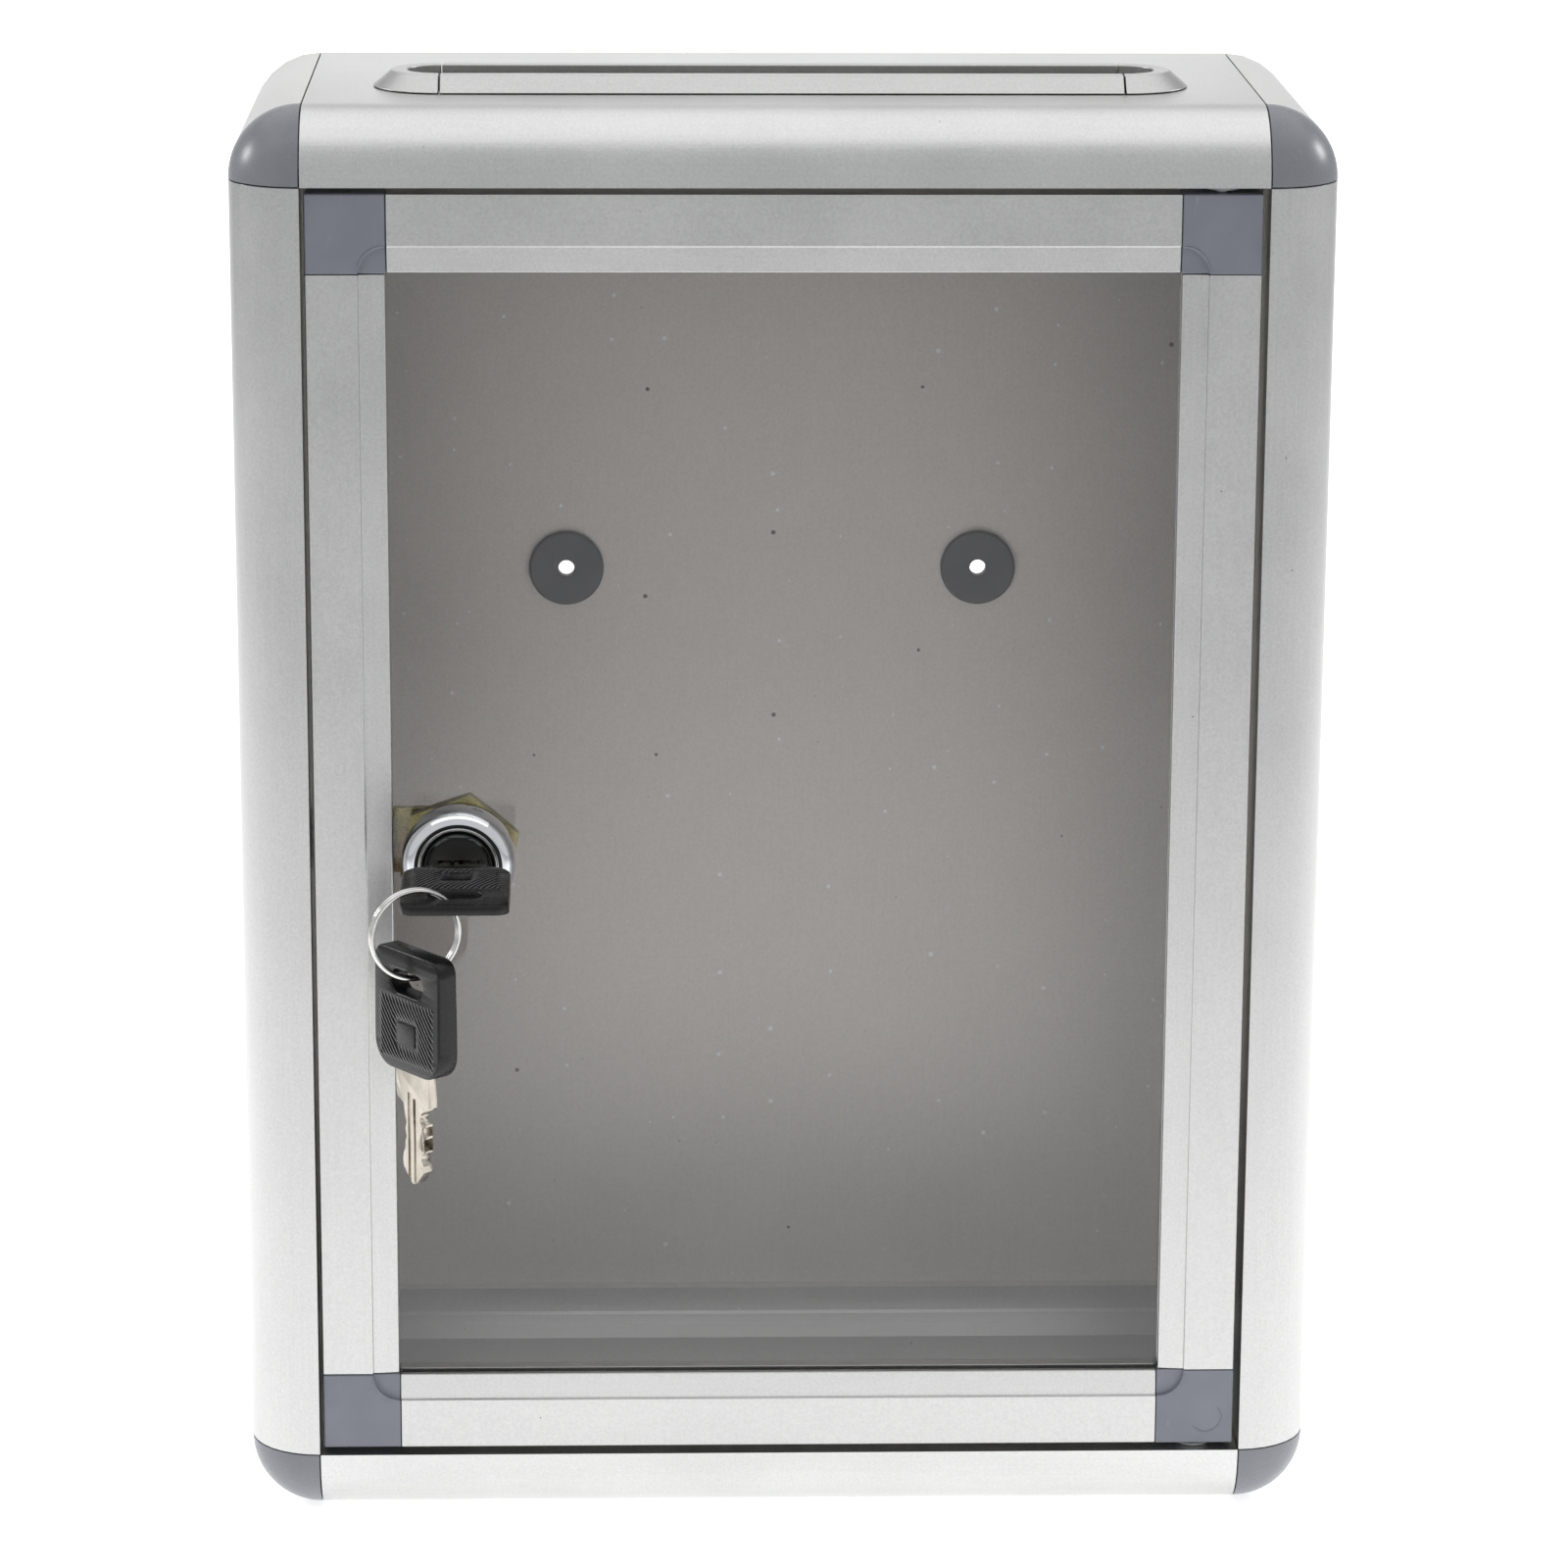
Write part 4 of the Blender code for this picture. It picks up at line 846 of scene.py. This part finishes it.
def key_blade(name, node, matrix, body):
    """A nickel blade with eased edges and two milled grooves on each face."""
    made = object_of(name, extruded(blade_outline(), -BLADE_THICK / 2, BLADE_THICK / 2))
    bevel(made, 0.18 * MM, 2)
    apply_modifiers(made)
    depth, half, past_tip = 0.45 * MM, 0.45 * MM, 24.5 * MM
    for face in (-1, 1):
        for middle, start in zip(GROOVES, (4.6 * MM, 5.6 * MM)):
            surface = face * BLADE_THICK / 2
            near, far = sorted((surface - face * depth, surface + face * 1.0 * MM))
            low = (middle - half, start, near)
            high = (middle + half, past_tip, far)
            boolean(made, box_shape(low, high), "DIFFERENCE")
    made.data.set_sharp_from_angle(angle=math.radians(32))
    settle(made, matrix, FINISHES["nickel"], body, "nickel_steel", node)


def key_frame(bow, spare_turn=None):
    """The key's own frame, from the CAD boxes: across, towards the tip, through."""
    low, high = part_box(bow)
    centre = (low + high) / 2
    if spare_turn is None:
        return Matrix.Translation((centre.x, high.y, centre.z))
    turn = Matrix.Rotation(spare_turn, 4, "Z") @ Matrix.Rotation(math.radians(-90), 4, "X")
    return Matrix.Translation((centre.x, centre.y, low.z)) @ turn


SPARE_TURN = math.radians(-52)
RING_TURN = math.radians(20)
for key_prefix, key_matrix, key_end_thick in (
    ("key", key_frame("key_bow"), 2.1 * MM),
    ("spare_key", key_frame("spare_key_bow", SPARE_TURN), 4.5 * MM),
):
    key_bow(f"{key_prefix}_grip", f"{key_prefix}_bow", key_matrix, key_prefix, key_end_thick)
    key_blade(f"{key_prefix}_shank", f"{key_prefix}_blade", key_matrix, key_prefix)


def split_ring():
    """Two turns of round wire side by side, with a crossing step and cut ends."""
    low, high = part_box("key_ring")
    centre = (low + high) / 2
    radius, wire, sides = (high.z - low.z) / 2 - 0.6 * MM, 0.5 * MM, 14
    turns, steps, first, steepness = 1.97, 150, math.radians(-150), 26
    shape = bmesh.new()
    rings = []
    for i in range(steps + 1):
        angle = first + 2 * math.pi * turns * i / steps
        share = i / steps
        # Each turn lies flat, and the wire steps across near the middle of its length.
        step = 1 / (1 + math.exp(-(share - 0.5) * steepness))
        axial = (step - 0.5) * 2 * wire
        out = Vector((math.cos(angle), math.sin(angle), 0.0))
        middle = out * radius + Vector((0, 0, axial))
        ring = []
        for k in range(sides):
            turn = 2 * math.pi * k / sides
            offset = out * math.cos(turn) + Vector((0, 0, 1)) * math.sin(turn)
            ring.append(shape.verts.new(middle + offset * wire))
        rings.append(ring)
    skin(shape, rings)
    made = object_of("split_ring", shape, 50)
    place = Matrix.Translation(centre) @ Matrix.Rotation(RING_TURN, 4, "Z") @ FACING_FRONT
    settle(made, place, FINISHES["wire"], "key_ring", "nickel_steel", "key_ring")


split_ring()


# ---- Stage, lights and camera -------------------------------------------------------------------------
CAMERA_PLACE = Vector((-0.03342, -1.17063, 0.45612))
CAMERA_YAW, CAMERA_PITCH, CAMERA_ROLL = -1.7096, -14.6806, -0.2790  # degrees
CAMERA_LENS = 129.635  # mm, on a 36 mm sensor
PAPER, PAPER_DRIFT, PAINTED_SHADE_GREY = (0.93, 0.93, 0.93), (0.915, 0.915, 0.915), (0.6, 0.6, 0.6)
PAPER_REACH, PAPER_BEND, PAPER_BEND_R, PAPER_TOP = 3.0, 1.2, 0.8, 3.0
PAINTED_GLOW = (0.04, 0.68, 0.85, 0.0)  # a distance from the box and the painted glow there, twice
PAINTED_SHADE_FADE = (0.28, 0.0, 1.0, 1.0)  # the same for the share of painted shade grey
SIDEWAYS, LEVEL_TO = 0.8, 0.32  # share of a sideways distance that counts, and the height where height begins to
WORLD_COLOUR, WORLD_STRENGTH = (0.98, 0.99, 1.0, 1.0), 0.62
LIGHTS = (  # name, place, target, size and power
    ("left_light", (-1.35, 0.35, 0.75), (0, 0, 0.25), 0.3, 4),
    ("right_light", (1.25, 0.4, 0.75), (0, 0, 0.25), 0.3, 4),
    ("top_light", (0.0, 0.6, 1.8), (0, 0.6, 0.0), 3.0, 19),
)


def add_camera():
    data = bpy.data.cameras.new("camera")
    data.lens = CAMERA_LENS
    data.sensor_width = 36.0
    data.clip_start, data.clip_end = 0.05, 30.0
    made = bpy.data.objects.new("camera", data)
    turn = Matrix.Rotation(math.radians(CAMERA_YAW), 4, "Z") @ Matrix.Rotation(math.radians(CAMERA_PITCH), 4, "X")
    turn = turn @ Matrix.Rotation(math.radians(CAMERA_ROLL), 4, "Y") @ Matrix.Rotation(math.radians(90), 4, "X")
    made.matrix_world = Matrix.Translation(CAMERA_PLACE) @ turn
    bpy.context.scene.collection.objects.link(made)
    bpy.context.scene.camera = made


def painted_light_floor(name):
    """Pale sheet with a painted pool of light: it glows round the box, and fades to painted shade grey upwards and
    away from the box on all sides but the back.
    """
    made = Finish(name, Roughness=0.9)
    drift = made.noise(0.5, 2.0)
    apart = made.add("ShaderNodeSeparateXYZ")
    made.link(made.place, apart.inputs[0])
    across = made.maths("MULTIPLY", apart.outputs["X"], SIDEWAYS)
    ahead = made.maths("MINIMUM", apart.outputs["Y"], 0.0)
    above = made.maths("MAXIMUM", made.maths("SUBTRACT", apart.outputs["Z"], LEVEL_TO), 0.0)
    joined = made.add("ShaderNodeCombineXYZ")
    for source, target in zip((across, ahead, above), joined.inputs):
        made.link(source, target)
    length = made.add("ShaderNodeVectorMath", operation="LENGTH")
    made.link(joined.outputs[0], length.inputs[0])
    pale = made.mix(drift, PAPER, PAPER_DRIFT)
    # Painted shade: the sheet turns grey away from the box.
    made.colour(made.mix(made.ramp(length.outputs["Value"], *PAINTED_SHADE_FADE), pale, PAINTED_SHADE_GREY))
    # Painted light: the sheet glows round the box, though it is no lamp.
    painted_glow = made.ramp(length.outputs["Value"], *PAINTED_GLOW)
    made.shader.inputs["Emission Color"].default_value = (1.0, 1.0, 1.0, 1.0)
    made.link(painted_glow, made.shader.inputs["Emission Strength"])
    return made.material


def add_floor():
    """A pale sheet that sweeps up well behind the box."""
    shape = bmesh.new()
    profile = [(-PAPER_REACH, 0.0), (PAPER_BEND, 0.0)]
    profile += arc((PAPER_BEND, PAPER_BEND_R), PAPER_BEND_R, -90, 0, 12)[1:]
    profile.append((PAPER_BEND + PAPER_BEND_R, PAPER_TOP))
    rows = [[shape.verts.new((x, y, z - 0.2 * MM)) for y, z in profile] for x in (-PAPER_REACH, PAPER_REACH)]
    for i in range(len(profile) - 1):
        shape.faces.new((rows[0][i], rows[0][i + 1], rows[1][i + 1], rows[1][i]))
    floor = object_of("floor", shape)
    floor.data.materials.append(painted_light_floor("paper_with_painted_light"))


def area_light(name, place, target, size, power):
    data = bpy.data.lights.new(name, "AREA")
    data.shape = "SQUARE"
    data.size = size
    data.energy = power
    made = bpy.data.objects.new(name, data)
    direction = Vector(target) - Vector(place)
    made.matrix_world = Matrix.Translation(place) @ direction.to_track_quat("-Z", "Y").to_matrix().to_4x4()
    bpy.context.scene.collection.objects.link(made)


def add_world():
    world = bpy.data.worlds.new("studio")
    world.use_nodes = True
    background = world.node_tree.nodes["Background"]
    background.inputs["Color"].default_value = WORLD_COLOUR
    background.inputs["Strength"].default_value = WORLD_STRENGTH
    bpy.context.scene.world = world


add_camera()
add_floor()
add_world()
for light in LIGHTS:
    area_light(*light)
bpy.context.scene.view_settings.view_transform = "Standard"
